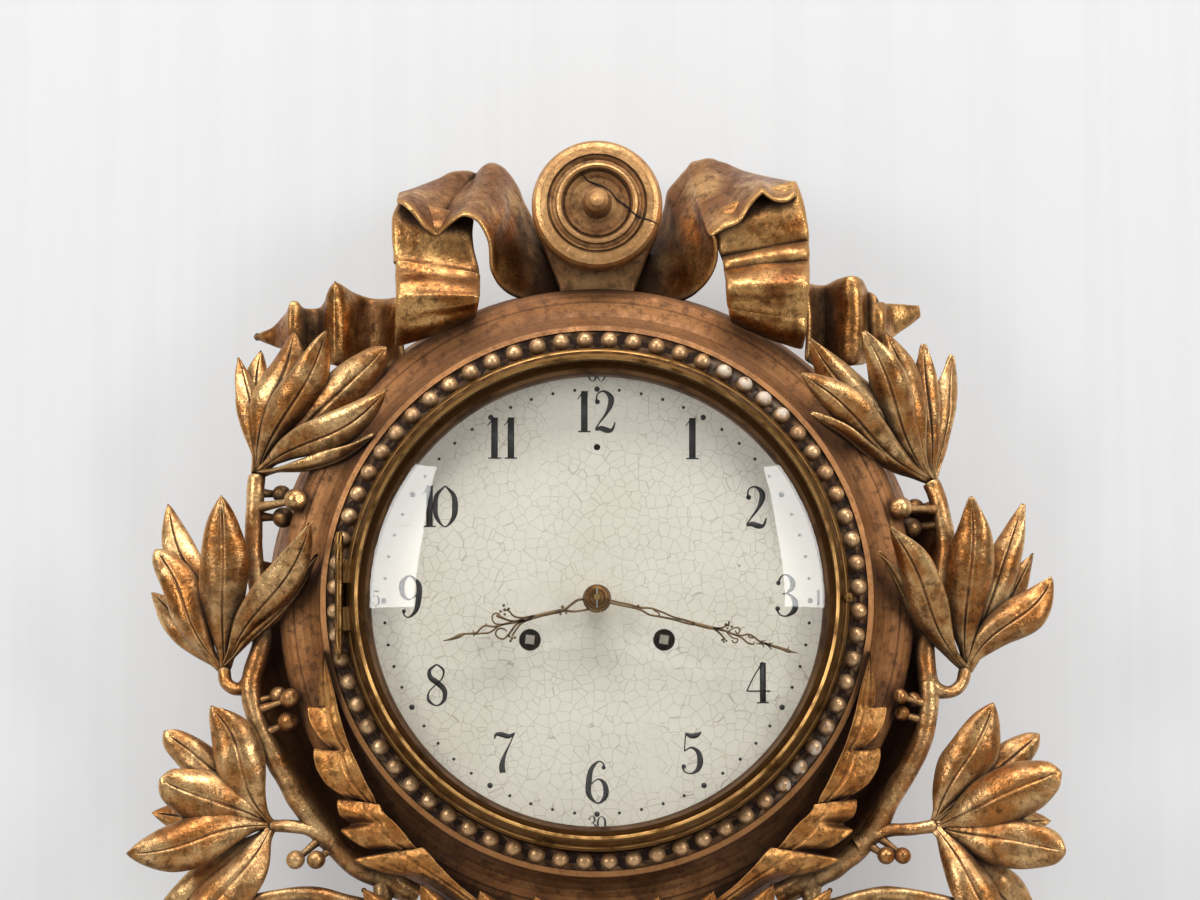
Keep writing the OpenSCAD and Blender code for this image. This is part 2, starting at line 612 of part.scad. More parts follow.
// Nearest place on the drum's front moulding
function rim_spot(p) = let (u = unit([p.x, p.z]) * (mould_r - 4)) [u.x, -mould_h - 6, u.y];
module acanthus() {
    path = [for (p = acanthus_spine) spot(p)];
    blade(path, acanthus_half_w, [-0.25, -1, -0.25], 12, 0.3);
    for (lobe = acanthus_lobes) {
        foot = spot(lobe[0]);
        tip = spot(lobe[1]);
        leaf(foot - (tip - foot) * 0.4, tip, 14, 0, 3);
    }
    for (k = [0, 2, 4]) hull() {
        translate(path[k] + [0, 4, 0]) sphere(r = 4, $fn = 6);
        translate(rim_spot(path[k])) sphere(r = 4, $fn = 6);
    }
}
module side_acanthus() {
    color("chocolate") on_dial_axis() {
        acanthus();
        mirror([1, 0, 0]) acanthus();
    }
}

// Leaves that wrap the pendulum case, from the bottom of the drum down to the finial
culot_fan = [[[14, -206, 62], [30, -141, 98], 24], [[24, -214, 60], [57, -139, 98], 26],
    [[34, -222, 58], [86, -136, 96], 26], [[44, -226, 52], [114, -138, 92], 26],
    [[50, -226, 46], [137, -146, 88], 24]];
module culot_half() {
    for (l = culot_fan) leaf(case_spot(l[0]), spot(l[1]), l[2], 0, 8);
    side = [[60, -206, 50], [70, -180, 44], [76, -160, 40], [84, -150, 36]];
    blade([for (p = side) case_spot(p)], [8, 12, 9, 1], [1, -0.6, 0], 5, 0.2);
    long = [[46, -214, 58], [50, -250, 58], [44, -285, 54], [34, -315, 50], [30, -338, 56]];
    blade([for (p = long) case_spot(p)], [8, 15, 14, 10, 1], [0.8, -1, 0], 5, 0.25);
}
module culot_acanthus() {
    color("chocolate") on_dial_axis() {
        culot_half();
        mirror([1, 0, 0]) culot_half();
        front = [[0, -200, 68], [0, -240, 70], [0, -280, 68], [0, -315, 62], [0, -340, 68]];
        blade([for (p = front) case_spot(p)], [9, 20, 20, 14, 1], [0, -1, 0], 6, 0.25);
        leaf(case_spot([0, -214, 66]), spot([0, -143, 100]), 26, 0, 6);
    }
}

// Door: the brass bezel, its glass and the ring that holds the glass
module bezel() {
    color("khaki") on_dial_axis() turned() polygon([
        [bezel_in, bezel_back], [bezel_r, bezel_back], [bezel_r, bezel_front - 11],
        [bezel_r - 0.8, bezel_front - 9.8], [bezel_r - 1.8, bezel_front - 9.2],
        [bezel_r - 2, bezel_front - 8.2], [bezel_r - 2.4, bezel_front - 5.2],
        [bezel_r - 3.2, bezel_front - 3.2], [bezel_r - 3.5, bezel_front - 2.4],
        [bezel_r - 4.2, bezel_front - 0.8], [bezel_r - 5.3, bezel_front], [lip_r, bezel_front - 0.6],
        [lip_r, lip_h], [bezel_in, lip_h]]);
}
module bezel_glass() {
    color("lightcyan", 0.4) on_dial_axis() intersection() {
        difference() {
            translate([0, -dome_mid_h, 0]) sphere(r = dome_r, $fn = 240);
            translate([0, -dome_mid_h, 0]) sphere(r = dome_r - glass_t, $fn = 240);
        }
        rod(at_centre, sight_h - 5, dome_edge_h + glass_rise + 1, glass_r);
    }
}
module glass_retaining_ring() {
    color("saddlebrown") on_dial_axis() turned() polygon([
        [sight_r, dial_h + 1.4], [bezel_in - fit, dial_h + 1.4], [bezel_in - fit, sight_h],
        [sight_r + 3, sight_h], [sight_r + 0.4, sight_h - 8]]);
}

// Hinge: five knuckles, the odd ones fixed to the case and the even ones to the bezel
module knuckles(list) for (k = list)
    translate([-hinge_x, -hinge_h, hinge_low + k * knuckle_len + 0.1])
        cylinder(h = knuckle_len - 0.2, r = knuckle_r);
module pin_bore() translate([-hinge_x, -hinge_h, hinge_low - 5])
    cylinder(h = hinge_len + 10, r = hinge_pin_r + fit);
module bezel_hinge_leaf() {
    color("khaki") on_dial_axis() difference() {
        union() {
            knuckles([1, 3]);
            for (k = [1, 3])
                block(-hinge_x, -bezel_in - 0.8, hinge_h - 0.6, hinge_h + 0.6,
                      hinge_low + k * knuckle_len + 0.1, hinge_low + (k + 1) * knuckle_len - 0.1);
        }
        pin_bore();
    }
}
module case_hinge_leaf() {
    color("khaki") on_dial_axis() difference() {
        union() {
            knuckles([0, 2, 4]);
            for (k = [0, 2, 4])
                block(-hinge_x - leaf_plate / 2, -hinge_x + leaf_plate / 2, bar_h0, hinge_h,
                      hinge_low + k * knuckle_len + 0.1, hinge_low + (k + 1) * knuckle_len - 0.1);
            block(-hinge_x - leaf_plate / 2, -hinge_x + leaf_plate / 2, bar_h0,
                  hinge_h - knuckle_r - gap, hinge_low + 0.1, hinge_low + hinge_len - 0.1);
            block(-hinge_x - leaf_plate / 2, -hinge_x + leaf_plate / 2, seat_h - 6, bar_h0 + 1,
                  -leaf_half + 1, leaf_half + 1);
        }
        pin_bore();
    }
}
bar_h0 = bead_h + bead_r + 0.4;
module hinge_pin() {
    color("darkkhaki") on_dial_axis() translate([-hinge_x, -hinge_h, 0]) {
        translate([0, 0, hinge_low - 2.6]) cylinder(h = hinge_len + 3.4, r = hinge_pin_r);
        translate([0, 0, hinge_low + hinge_len + 0.2]) cylinder(h = 1.4, r = hinge_pin_r + 0.6);
    }
}
module pull_knob() {
    color("khaki") on_dial_axis() translate([bezel_r - 1, 0, -0.5]) rotate([90, 0, 0])
        rotate_extrude($fn = 48) polygon([
            [0, bezel_front - 10], [1.4, bezel_front - 10], [1.4, bezel_front - 2.5],
            [pull_r - 0.4, bezel_front - 1.6], [pull_r, bezel_front], [pull_r - 0.3, bezel_front + 1.4],
            [pull_r - 1.2, bezel_front + 2.2], [0, bezel_front + 2.5]]);
}

// Dial and hands
module dial_plate() {
    color("antiquewhite") on_dial_axis() difference() {
        rod(at_centre, dial_back, dial_h, dial_r);
        rod(at_centre, dial_back - 1, dial_h + 1, hand_hole_r);
        for (p = [at_going, at_strike]) rod(p, dial_back - 1, dial_h + 1, wind_hole_r);
        rod([0, 75], dial_back - 1, dial_h + 1, 1.6);
        rod([69, 17], dial_back - 1, dial_h + 1, 0.7);
    }
}
foot_spots = [[-47, 38], [47, 38], [0, -50]];
module dial_feet() {
    color("tan") on_dial_axis() for (p = foot_spots) rod(p, front_h1, dial_back, 2.5);
}

// Pierced hand that points up from its boss
module hand_shape(reach, boss, bore) {
    difference() {
        union() {
            circle(r = boss);
            translate([-1.1, 0]) square([2.2, reach * 0.64]);
            for (s = [-1, 1]) for (k = [0.2, 0.34]) translate([s * 3, reach * k]) circle(r = 3.4);
            polygon([[0, reach * 0.5], [3.4, reach * 0.64], [1.2, reach * 0.76], [2, reach * 0.86],
                     [0, reach], [-2, reach * 0.86], [-1.2, reach * 0.76], [-3.4, reach * 0.64]]);
        }
        circle(r = bore);
        for (s = [-1, 1]) for (k = [0.2, 0.34]) translate([s * 3, reach * k]) circle(r = 1.9);
    }
}
module hand(angle, h0, reach, boss, bore)
    rotate([0, angle, 0]) slab(h0, h0 + hand_t) hand_shape(reach, boss, bore);
module hour_hand() {
    color("olive") on_dial_axis() hand(hour_angle, hour_hand_h, hour_len, pipe_r + 2.6, pipe_r + fit);
}
module minute_hand() {
    color("olive") on_dial_axis()
        hand(minute_angle, minute_hand_h, minute_len, cannon_r + 3, cannon_r + fit);
}
collet_h = minute_hand_h + hand_t;
module hand_collet() {
    color("khaki") on_dial_axis() difference() {
        turned() polygon([[0, collet_h], [6.2, collet_h], [5.8, collet_h + 1], [4, collet_h + 2],
                          [0, collet_h + 2.4]]);
        rod(at_centre, collet_h - 1, collet_h + 3, tip_r + fit);
    }
}
tip_r = 1.5;
pin_out_h = collet_h + 3.4;
module taper_pin() {
    color("gray") on_dial_axis() translate([0, -pin_out_h, -5]) cylinder(h = 10, r = 0.55);
}

// Gear outline: each tooth tapers straight from its root to its tip
function gear_points(n, m, share, phase) =
    let (pitch = n * m / 2, tip = pitch + 0.85 * m, root = pitch - 1.2 * m, a = share * 180 / n,
         b = a * 0.4)
    [for (k = [0:n - 1]) for (q = [[root, -a], [tip, -b], [tip, b], [root, a]])
        polar(q[0], phase + k * 360 / n + q[1])];
wheel_share = 0.5;
pinion_share = 0.42;

// Opening between two spokes
function window(r0, r1, spoke, a0, a1) =
    let (d0 = asin(spoke / 2 / r0), d1 = asin(spoke / 2 / r1), n = 6)
    concat([for (i = [0:n]) polar(r1, a0 + d1 + (a1 - a0 - 2 * d1) * i / n)],
           [for (i = [n:-1:0]) polar(r0, a0 + d0 + (a1 - a0 - 2 * d0) * i / n)]);
module wheel(p, h, t, n, m, phase, spokes = 4, hub = 5, bore = 0) {
    rim = n * m / 2 - 1.2 * m - 2.2;
    at(p) slab(h - t / 2, h + t / 2) difference() {
        polygon(gear_points(n, m, wheel_share, phase));
        for (k = [0:spokes - 1])
            polygon(window(hub, rim, 2.2, phase + k * 360 / spokes, phase + (k + 1) * 360 / spokes));
        if (bore > 0) circle(r = bore);
    }
}
module pinion(p, h0, h1, n, m, phase)
    at(p) slab(h0, h1) polygon(gear_points(n, m, pinion_share, phase));
function bearing(a, b) = atan2(b.y - a.y, b.x - a.x);
// Phase of gear b that meshes with gear a
function mesh(a, b, phase_a, na, nb) =
    bearing(a, b) + 180 + (bearing(a, b) - phase_a) * na / nb + 180 / nb;

// Arbor between the plates with a pivot at each end
pivot_r = 0.8;
thin_arbor_r = 0.92;
module arbor(p, r = 1.6) {
    rod(p, back_h1 + 0.4, front_h0 - 0.4, r);
    rod(p, back_h0 - 0.4, front_h1 + 0.4, pivot_r);
}

phase_centre = 0;
phase_second_pair = mesh(at_centre, at_second, phase_centre, centre_pinion, second_teeth);
phase_barrel = mesh(at_second, at_going, phase_second_pair, barrel_pinion, barrel_teeth);
phase_third = mesh(at_centre, at_third, phase_centre, centre_teeth, third_pinion);
phase_escape = mesh(at_third, at_escape, phase_third, third_teeth, escape_pinion);
phase_minute = mesh(at_centre, at_minute, phase_centre, cannon_teeth, minute_teeth);
phase_hour = mesh(at_minute, at_centre, phase_minute, minute_pinion, hour_teeth);
phase_pin = 0;
phase_strike_second = mesh(at_pin, at_strike_second, phase_pin, pin_pinion, strike_teeth);
phase_strike = mesh(at_strike_second, at_strike, phase_strike_second, barrel_pinion, barrel_teeth);
phase_fly = mesh(at_pin, at_fly, phase_pin, pin_teeth, fly_pinion);

// Spring barrels. A barrel turns on its winding arbor.
barrel_h0 = back_h1 + 12;
barrel_h1 = great_h + 1.2;
module barrel(p, phase) difference() {
    union() {
        at(p) slab(great_h - 1.2, great_h + 1.2)
            polygon(gear_points(barrel_teeth, barrel_mod, wheel_share, phase));
        rod(p, barrel_h0, great_h, barrel_r);
    }
    rod(p, barrel_h0 + 1.5, great_h - 1.2, barrel_r - 1.5);
    rod(p, barrel_h0 - 1, barrel_h1 + 1, wind_arbor_r + fit);
}
module going_barrel() {
    color("goldenrod") on_dial_axis() barrel(at_going, phase_barrel);
}
module strike_barrel() {
    color("goldenrod") on_dial_axis() barrel(at_strike, phase_strike);
}

// Coiled steel strip inside a barrel
spring_t = 0.5;
spring_turns = 4;
function coil(r0, r1, t) =
    let (n = spring_turns * 16)
    concat([for (i = [0:n]) polar(r0 + (r1 - r0) * i / n, i * 22.5)],
           [for (i = [n:-1:0]) polar(r0 + t + (r1 - r0) * i / n, i * 22.5)]);
module mainspring(p)
    at(p) slab(barrel_h0 + 2, great_h - 1.8) polygon(coil(wind_arbor_r + 3, barrel_r - 3, spring_t));
module going_mainspring() {
    color("slategray") on_dial_axis() mainspring(at_going);
}
module strike_mainspring() {
    color("slategray") on_dial_axis() mainspring(at_strike);
}

// Winding arbor with its ratchet wheel in front of the front plate and a square for the key
ratchet_r = 9;
ratchet_h0 = front_h1 + 0.6;
function ratchet_points(r, n) =
    [for (k = [0:n - 1]) for (q = [[r, 0], [r - 1.4, 340 / n]]) polar(q[0], k * 360 / n + q[1])];
module winding(p) {
    rod(p, back_h1 + 0.4, front_h0 - 0.4, wind_arbor_r);
    rod(p, back_h0 - 0.6, back_h1 + 1, wind_arbor_r - 1);
    rod(p, front_h0 - 1, ratchet_h0 + 2, wind_arbor_r - 0.4);
    at(p) slab(ratchet_h0, ratchet_h0 + 2) polygon(ratchet_points(ratchet_r, 24));
    at(p) rotate([0, 8, 0]) slab(ratchet_h0 + 1, dial_h + 2)
        polygon([for (s = [[-1, -1], [1, -1], [1, 1], [-1, 1]]) s * wind_square / 2]);
}
module going_arbor() {
    color("gray") on_dial_axis() winding(at_going);
}
module strike_arbor() {
    color("gray") on_dial_axis() winding(at_strike);
}
module winding_clicks() {
    color("dimgray") on_dial_axis() for (s = [-1, 1]) {
        p = [s * (wind_x + 6), -wind_drop + 12.5];
        rod(p, front_h1, ratchet_h0 + 2.4, 1.6);
        at(p) slab(ratchet_h0, ratchet_h0 + 1.8)
            polygon([[-s * 1.5, -2.4], [s * 2, -2], [s * 2.2, 1.5], [-s * 1, 2.4], [-s * 7, -1.6],
                     [-s * 6.2, -2.6]]);
    }
}

// Going train
module going_second_wheel() {
    color("goldenrod") on_dial_axis() {
        arbor(at_second);
        pinion(at_second, great_h - 2, great_h + 2, barrel_pinion, barrel_mod, phase_second_pair);
        wheel(at_second, second_h, wheel_t, second_teeth, second_mod, phase_second_pair);
        rod(at_second, second_h - 2, second_h + 2, 3.4);
    }
}
module centre_wheel() {
    color("goldenrod") on_dial_axis() {
        rod(at_centre, back_h1 + 0.4, front_h1 + 1, 2);
        rod(at_centre, back_h0 - 0.4, back_h1 + 1, pivot_r);
        pinion(at_centre, second_h - 1.7, second_h + 1.7, centre_pinion, second_mod, phase_centre);
        wheel(at_centre, centre_h, wheel_t * 0.7, centre_teeth, third_mod, phase_centre, 5);
        rod(at_centre, centre_h - 1.2, centre_h + 1.2, 4);
        rod(at_centre, front_h1 + 0.6, collet_h - 0.1, cannon_r);
        pinion(at_centre, cannon_h - 1.5, cannon_h + 1.5, cannon_teeth, cannon_mod, phase_centre);
        difference() {
            rod(at_centre, collet_h - 1, pin_out_h + 1.6, tip_r);
            translate([0, -pin_out_h, -5]) cylinder(h = 10, r = 0.6);
        }
    }
}
module third_wheel() {
    color("goldenrod") on_dial_axis() {
        arbor(at_third, thin_arbor_r);
        pinion(at_third, centre_h - 1.5, centre_h + 1.5, third_pinion, third_mod, phase_third);
        wheel(at_third, third_h, wheel_t * 0.7, third_teeth, third_mod, phase_third, 4, 4);
        rod(at_third, third_h - 1.2, third_h + 1.2, 3);
    }
}
function escape_points(n, r) =
    [for (k = [0:n - 1]) for (q = [[r - 2.4, 0], [r, 1.8], [r, 3], [r - 2.4, 8]])
        polar(q[0], k * 360 / n + q[1])];
module escape_wheel() {
    color("khaki") on_dial_axis() {
        arbor(at_escape, thin_arbor_r);
        pinion(at_escape, third_h - 1.5, third_h + 1.5, escape_pinion, third_mod, phase_escape);
        at(at_escape) slab(escape_h - 0.5, escape_h + 0.5) difference() {
            polygon(escape_points(escape_teeth, escape_r));
            for (k = [0:3]) polygon(window(3.4, escape_r - 4, 1.8, k * 90, k * 90 + 90));
        }
        rod(at_escape, escape_h - 1.2, escape_h + 1.2, 2.6);
    }
}

// Anchor: two pallets over the escape wheel, and at the back a crutch with a fork for the rod
pallet_gap = 1.15;
pallet = polar(escape_r + pallet_gap, 39) + [0, escape_rise - pivot_rise];
module anchor() {
    color("lightsteelblue") on_dial_axis() {
        rod(at_pivot, back_h1 + 0.4, front_h0 - 0.4, 1.4);
        rod(at_pivot, pendulum_h + 4.6, front_h1 + 0.4, pivot_r);
        at(at_pivot) slab(escape_h - 1.2, escape_h + 1.2) union() {
            circle(r = 3);
            for (s = [-1, 1])
                polygon([[0, 2.4], [s * 12.4, -4.6], [s * 13.6, -8.6], [s * pallet.x, pallet.y],
                         [s * (pallet.x - 0.4), pallet.y + 3.8], [0, -2.6]]);
        }
        at(at_pivot) slab(pendulum_h + 4.6, pendulum_h + 6.2) union() {
            circle(r = 2.6);
            translate([-1.2, -36]) square([2.4, 36]);
            translate([-4, -38]) square([8, 3]);
        }
        for (s = [-1, 1])
            block(s * 3 - 1, s * 3 + 1, pendulum_h - 3, pendulum_h + 5, pivot_rise - 38, pivot_rise - 35);
    }
}
module back_cock() {
    color("goldenrod") on_dial_axis() {
        difference() {
            union() {
                block(-14, 14, back_h0 - 3, back_h0, pivot_rise + 8, pivot_rise + 16);
                block(-8, 8, pendulum_h - 8.5, back_h0 - 1, pivot_rise + 8, pivot_rise + 12);
                block(-8, 8, pendulum_h - 8.5, pendulum_h - 5.5, pivot_rise - 5, pivot_rise + 12);
            }
            for (s = [-1, 1]) rod([s * 10.5, pivot_rise + 12], back_h0 - 4, back_h0 + 1, 1.2);
        }
        rod(at_pivot, pendulum_h - 6, pendulum_h + 3, stud_r);
    }
}

// Motion work between the front plate and the dial
module minute_wheel() {
    color("goldenrod") on_dial_axis() difference() {
        union() {
            wheel(at_minute, cannon_h, wheel_t, minute_teeth, cannon_mod, phase_minute);
            pinion(at_minute, cannon_h, hour_h + 1.2, minute_pinion, hour_mod, phase_minute);
        }
        rod(at_minute, front_h1, hour_h + 4, stud_r + fit);
    }
}
module hour_wheel() {
    color("goldenrod") on_dial_axis() difference() {
        union() {
            wheel(at_centre, hour_h, wheel_t, hour_teeth, hour_mod, phase_hour, 4, 6);
            rod(at_centre, hour_h - wheel_t / 2, hour_hand_h + hand_t + 0.4, pipe_r);
        }
        rod(at_centre, hour_h - 4, hour_hand_h + 5, cannon_r + fit);
    }
}

// Plates and pillars
plate_half = 57;
plate_low = 60;
plate_top = 64;
pillar_spots = [[-50, -52], [50, -52], [-51, 57], [51, 57]];
train = [at_second, at_third, at_escape, at_pivot, at_strike_second, at_pin, at_fly, at_hammer];
module plate_blank(h0) block(-plate_half, plate_half, h0, h0 + plate_t, -plate_low, plate_top);
module plate_holes(h0) {
    for (p = train) rod(p, h0 - 1, h0 + plate_t + 1, pivot_r + fit);
    for (p = pillar_spots) rod(p, h0 - 1, h0 + plate_t + 1, 1.6);
}
module front_plate() {
    color("darkgoldenrod") on_dial_axis() {
        difference() {
            plate_blank(front_h0);
            plate_holes(front_h0);
            rod(at_centre, front_h0 - 1, front_h1 + 1, 2 + fit);
            for (p = [at_going, at_strike])
                rod(p, front_h0 - 1, front_h1 + 1, wind_arbor_r - 0.4 + fit);
        }
        rod(at_minute, front_h1 - 1, hour_h + 2.6, stud_r);
    }
}
module back_plate() {
    color("darkgoldenrod") on_dial_axis() difference() {
        union() {
            plate_blank(back_h0);
            block(-7, 7, back_h0, back_h1, plate_top - 1, at_bell.y + 7);
        }
        plate_holes(back_h0);
        rod(at_centre, back_h0 - 1, back_h1 + 1, pivot_r + fit);
        for (p = [at_going, at_strike]) rod(p, back_h0 - 1, back_h1 + 1, wind_arbor_r - 1 + fit);
        rod(at_bell, back_h0 - 1, back_h1 + 1, 2 + fit);
    }
}
module plate_pillars() {
    color("khaki") on_dial_axis() for (p = pillar_spots) {
        rod(p, back_h1, front_h0, 3.2);
        rod(p, back_h1 + 8, front_h0 - 8, 4);
        rod(p, back_h0 - 1.5, front_h1 + 1.5, 1.6 - fit);
    }
}

// Striking train
module strike_second_wheel() {
    color("goldenrod") on_dial_axis() {
        arbor(at_strike_second);
        pinion(at_strike_second, great_h - 2, great_h + 2, barrel_pinion, barrel_mod,
               phase_strike_second);
        wheel(at_strike_second, second_h, wheel_t, strike_teeth, strike_mod, phase_strike_second);
        rod(at_strike_second, second_h - 2, second_h + 2, 3.4);
    }
}
module pin_wheel() {
    color("goldenrod") on_dial_axis() {
        arbor(at_pin, 1.3);
        pinion(at_pin, second_h - 1.7, second_h + 1.7, pin_pinion, strike_mod, phase_pin);
        wheel(at_pin, pin_h, wheel_t, pin_teeth, third_mod, phase_pin, 4, 3.6);
        for (k = [0:7]) rod(at_pin + polar(lift_r, k * 45 + 20), pin_h, pin_h + 4, 0.7);
    }
}
lift_r = pin_teeth * third_mod / 2 - 1.7;
module fly() {
    color("khaki") on_dial_axis() {
        arbor(at_fly, thin_arbor_r);
        pinion(at_fly, pin_h - 1.5, pin_h + 1.5, fly_pinion, third_mod, phase_fly);
        block(at_fly.x - 9, at_fly.x + 9, pin_h + 7, front_h0 - 5, at_fly.y - 0.4, at_fly.y + 0.4);
    }
}
module hammer() {
    arm_h = pin_h + 3.2;
    head_dir = unit(at_bell - at_head);
    tail_end = at_pin + polar(lift_r + 1.5, 82);
    color("gray") on_dial_axis() {
        arbor(at_hammer, 1.4);
        bar(at_hammer, at_head, 2.4, arm_h - 0.9, arm_h + 0.9);
        bar(at_hammer, tail_end, 1.6, arm_h - 0.9, arm_h + 0.9);
        translate([at_head.x, -arm_h, at_head.y]) rotate([0, 90 - bearing(at_head, at_bell), 0])
            translate([0, 0, -3.6]) cylinder(h = 7.4, r = 3);
    }
}
module bar(a, b, w, h0, h1) {
    u = unit(b - a);
    s = [-u.y, u.x] * w / 2;
    slab(h0, h1) polygon([a - s, b - s, b + s, a + s]);
}
bell_h0 = back_h1 + 5;
module bell() {
    color("wheat") on_dial_axis() at(at_bell) difference() {
        turned() polygon([[0, bell_h0], [10, bell_h0 + 0.6], [20, bell_h0 + 3], [26, bell_h0 + 8],
            [bell_r, bell_h0 + 15], [bell_r - 1.7, bell_h0 + 15], [24.4, bell_h0 + 9],
            [18.6, bell_h0 + 4.8], [10, bell_h0 + 2.4], [0, bell_h0 + 2]]);
        rod([0, 0], bell_h0 - 1, bell_h0 + 5, 2 + fit);
    }
}
module bell_stand() {
    color("goldenrod") on_dial_axis() {
        rod(at_bell, back_h0 - 1, bell_h0 + 6, 2);
        rod(at_bell, back_h1, bell_h0, 3.4);
        rod(at_bell, bell_h0 + 2.3, bell_h0 + 4.4, 3.6);
    }
}

// Pendulum
module pendulum_rod() {
    color("silver") on_dial_axis() {
        difference() {
            rod(at_pivot, pendulum_h - 1.6, pendulum_h + 1.6, 4);
            rod(at_pivot, pendulum_h - 3, pendulum_h + 3, stud_r + fit);
        }
        translate([0, -pendulum_h, pivot_rise - pendulum_len - bob_r - 12])
            cylinder(h = pendulum_len + bob_r + 9.4, r = rod_r);
    }
}
module pendulum_bob() {
    color("gold") on_dial_axis() translate([0, -pendulum_h, pivot_rise - pendulum_len]) difference() {
        rotate([90, 0, 0]) rotate_extrude($fn = 96) polygon([
            [0, -bob_t / 2], [bob_r * 0.55, -bob_t * 0.4], [bob_r * 0.85, -bob_t * 0.22],
            [bob_r, -0.6], [bob_r, 0.6], [bob_r * 0.85, bob_t * 0.22], [bob_r * 0.55, bob_t * 0.4],
            [0, bob_t / 2]]);
        translate([0, 0, -bob_r - 1]) cylinder(h = 2 * bob_r + 2, r = rod_r + fit);
    }
}
module rating_nut() {
    color("khaki") on_dial_axis() translate([0, -pendulum_h, pivot_rise - pendulum_len - bob_r - 5])
        difference() {
            cylinder(h = 4.4, r = 5);
            translate([0, 0, -1]) cylinder(h = 7, r = rod_r + fit);
        }
}

drum_case();
pearl_moulding();
back_board();
pendulum_case();
hanger_plate();
case_screws();
crest_knob();
ribbon_bow_left();
ribbon_bow_right();
laurel_stem_left();
laurel_stem_right();
laurel_spray_left_upper();
laurel_spray_left_middle();
laurel_spray_left_lower();
laurel_spray_right_upper();
laurel_spray_right_middle();
laurel_spray_right_lower();
side_acanthus();
culot_acanthus();
pendant_bud();
bezel();
bezel_glass();
glass_retaining_ring();
bezel_hinge_leaf();
pull_knob();
case_hinge_leaf();
hinge_pin();
dial_plate();
dial_feet();
hour_hand();
minute_hand();
hand_collet();
taper_pin();
front_plate();
back_plate();
plate_pillars();
winding_clicks();
going_barrel();
going_mainspring();
going_arbor();
strike_barrel();
strike_mainspring();
strike_arbor();
going_second_wheel();
centre_wheel();
third_wheel();
escape_wheel();
anchor();
minute_wheel();
hour_wheel();
strike_second_wheel();
pin_wheel();
fly();
hammer();
bell();
bell_stand();
back_cock();
pendulum_rod();
pendulum_bob();
rating_nut();
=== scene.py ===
# Pendulum wall clock with a carved and gilded case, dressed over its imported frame.
# The lists give places in millimetres: across and up from the middle of the dial, then out from the
# wall. The wall is the plane y = 0, and the front of the clock faces -Y.
import random
from math import cos, pi, radians, sin

import bmesh
import bpy
from mathutils import Matrix, Vector, noise


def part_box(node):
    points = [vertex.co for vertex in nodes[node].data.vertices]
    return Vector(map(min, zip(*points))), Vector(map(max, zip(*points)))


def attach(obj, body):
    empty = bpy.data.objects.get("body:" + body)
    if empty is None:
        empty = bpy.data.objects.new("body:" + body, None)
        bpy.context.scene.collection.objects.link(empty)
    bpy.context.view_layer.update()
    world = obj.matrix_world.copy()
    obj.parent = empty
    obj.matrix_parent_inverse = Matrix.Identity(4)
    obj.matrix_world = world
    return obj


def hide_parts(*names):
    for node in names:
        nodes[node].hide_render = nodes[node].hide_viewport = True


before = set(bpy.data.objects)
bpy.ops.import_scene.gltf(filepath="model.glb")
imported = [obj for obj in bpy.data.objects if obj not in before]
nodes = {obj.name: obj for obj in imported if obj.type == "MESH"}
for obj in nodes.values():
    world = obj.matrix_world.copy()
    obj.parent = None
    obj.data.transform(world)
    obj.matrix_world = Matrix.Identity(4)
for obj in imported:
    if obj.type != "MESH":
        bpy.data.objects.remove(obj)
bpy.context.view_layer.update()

# ---- Back board, hanging plate and screws -------------------------------------------------------
# A pine board closes the back. It is planed softwood, darkened by age, with an iron plate let in
# round the hanging hole, and iron screws that hold it to the drum and to the pendulum case.


def tone(red, green, blue):
    """Colour of a finish from its 0 to 255 values."""
    return tuple((part / 255) ** 2.2 for part in (red, green, blue)) + (1.0,)


def new_finish(name):
    """Material with its shader; returns both."""
    finish = bpy.data.materials.new(name)
    finish.use_nodes = True
    return finish, finish.node_tree.nodes["Principled BSDF"]


def lay(finish, kind, sockets=None, **settings):
    """One node of a finish. Sockets take a value or another node's output."""
    node = finish.node_tree.nodes.new("ShaderNode" + kind)
    for key, value in settings.items():
        setattr(node, key, value)
    for key, value in (sockets or {}).items():
        join(finish, value, node.inputs[key])
    return node


def join(finish, value, socket):
    if isinstance(value, bpy.types.NodeSocket):
        finish.node_tree.links.new(value, socket)
    else:
        socket.default_value = value


def dress(finish, shader, colour, rough):
    join(finish, colour, shader.inputs["Base Color"])
    shader.inputs["Roughness"].default_value = rough


def on_clock(finish):
    """Place on the clock's own axes."""
    return lay(finish, "TexCoord").outputs["Object"]


def grain(finish, size, detail=4.0, rough=0.6, stretch=(1, 1, 1), middle=(0, 0, 0)):
    """Noise with spots about size metres across."""
    placed = lay(finish, "Mapping", {"Vector": on_clock(finish), "Location": middle,
                                     "Scale": stretch})
    return lay(finish, "TexNoise", {"Vector": placed.outputs[0], "Scale": 0.6 / size,
                                    "Detail": detail, "Roughness": rough}).outputs["Fac"]


def between(finish, value, low, high, start=0.0, end=1.0):
    """Smooth step of a value from low to high."""
    return lay(finish, "MapRange", {"Value": value, "From Min": low, "From Max": high,
                                    "To Min": start, "To Max": end},
               interpolation_type="SMOOTHSTEP").outputs[0]


def times(finish, a, b, kind="MULTIPLY"):
    return lay(finish, "Math", {0: a, 1: b}, operation=kind).outputs[0]


def blend(finish, share, under, over):
    """Colour that goes from under to over."""
    mix = lay(finish, "Mix", {"Factor": share, "A": under, "B": over}, data_type="RGBA",
              clamp_factor=True)
    return mix.outputs["Result"]


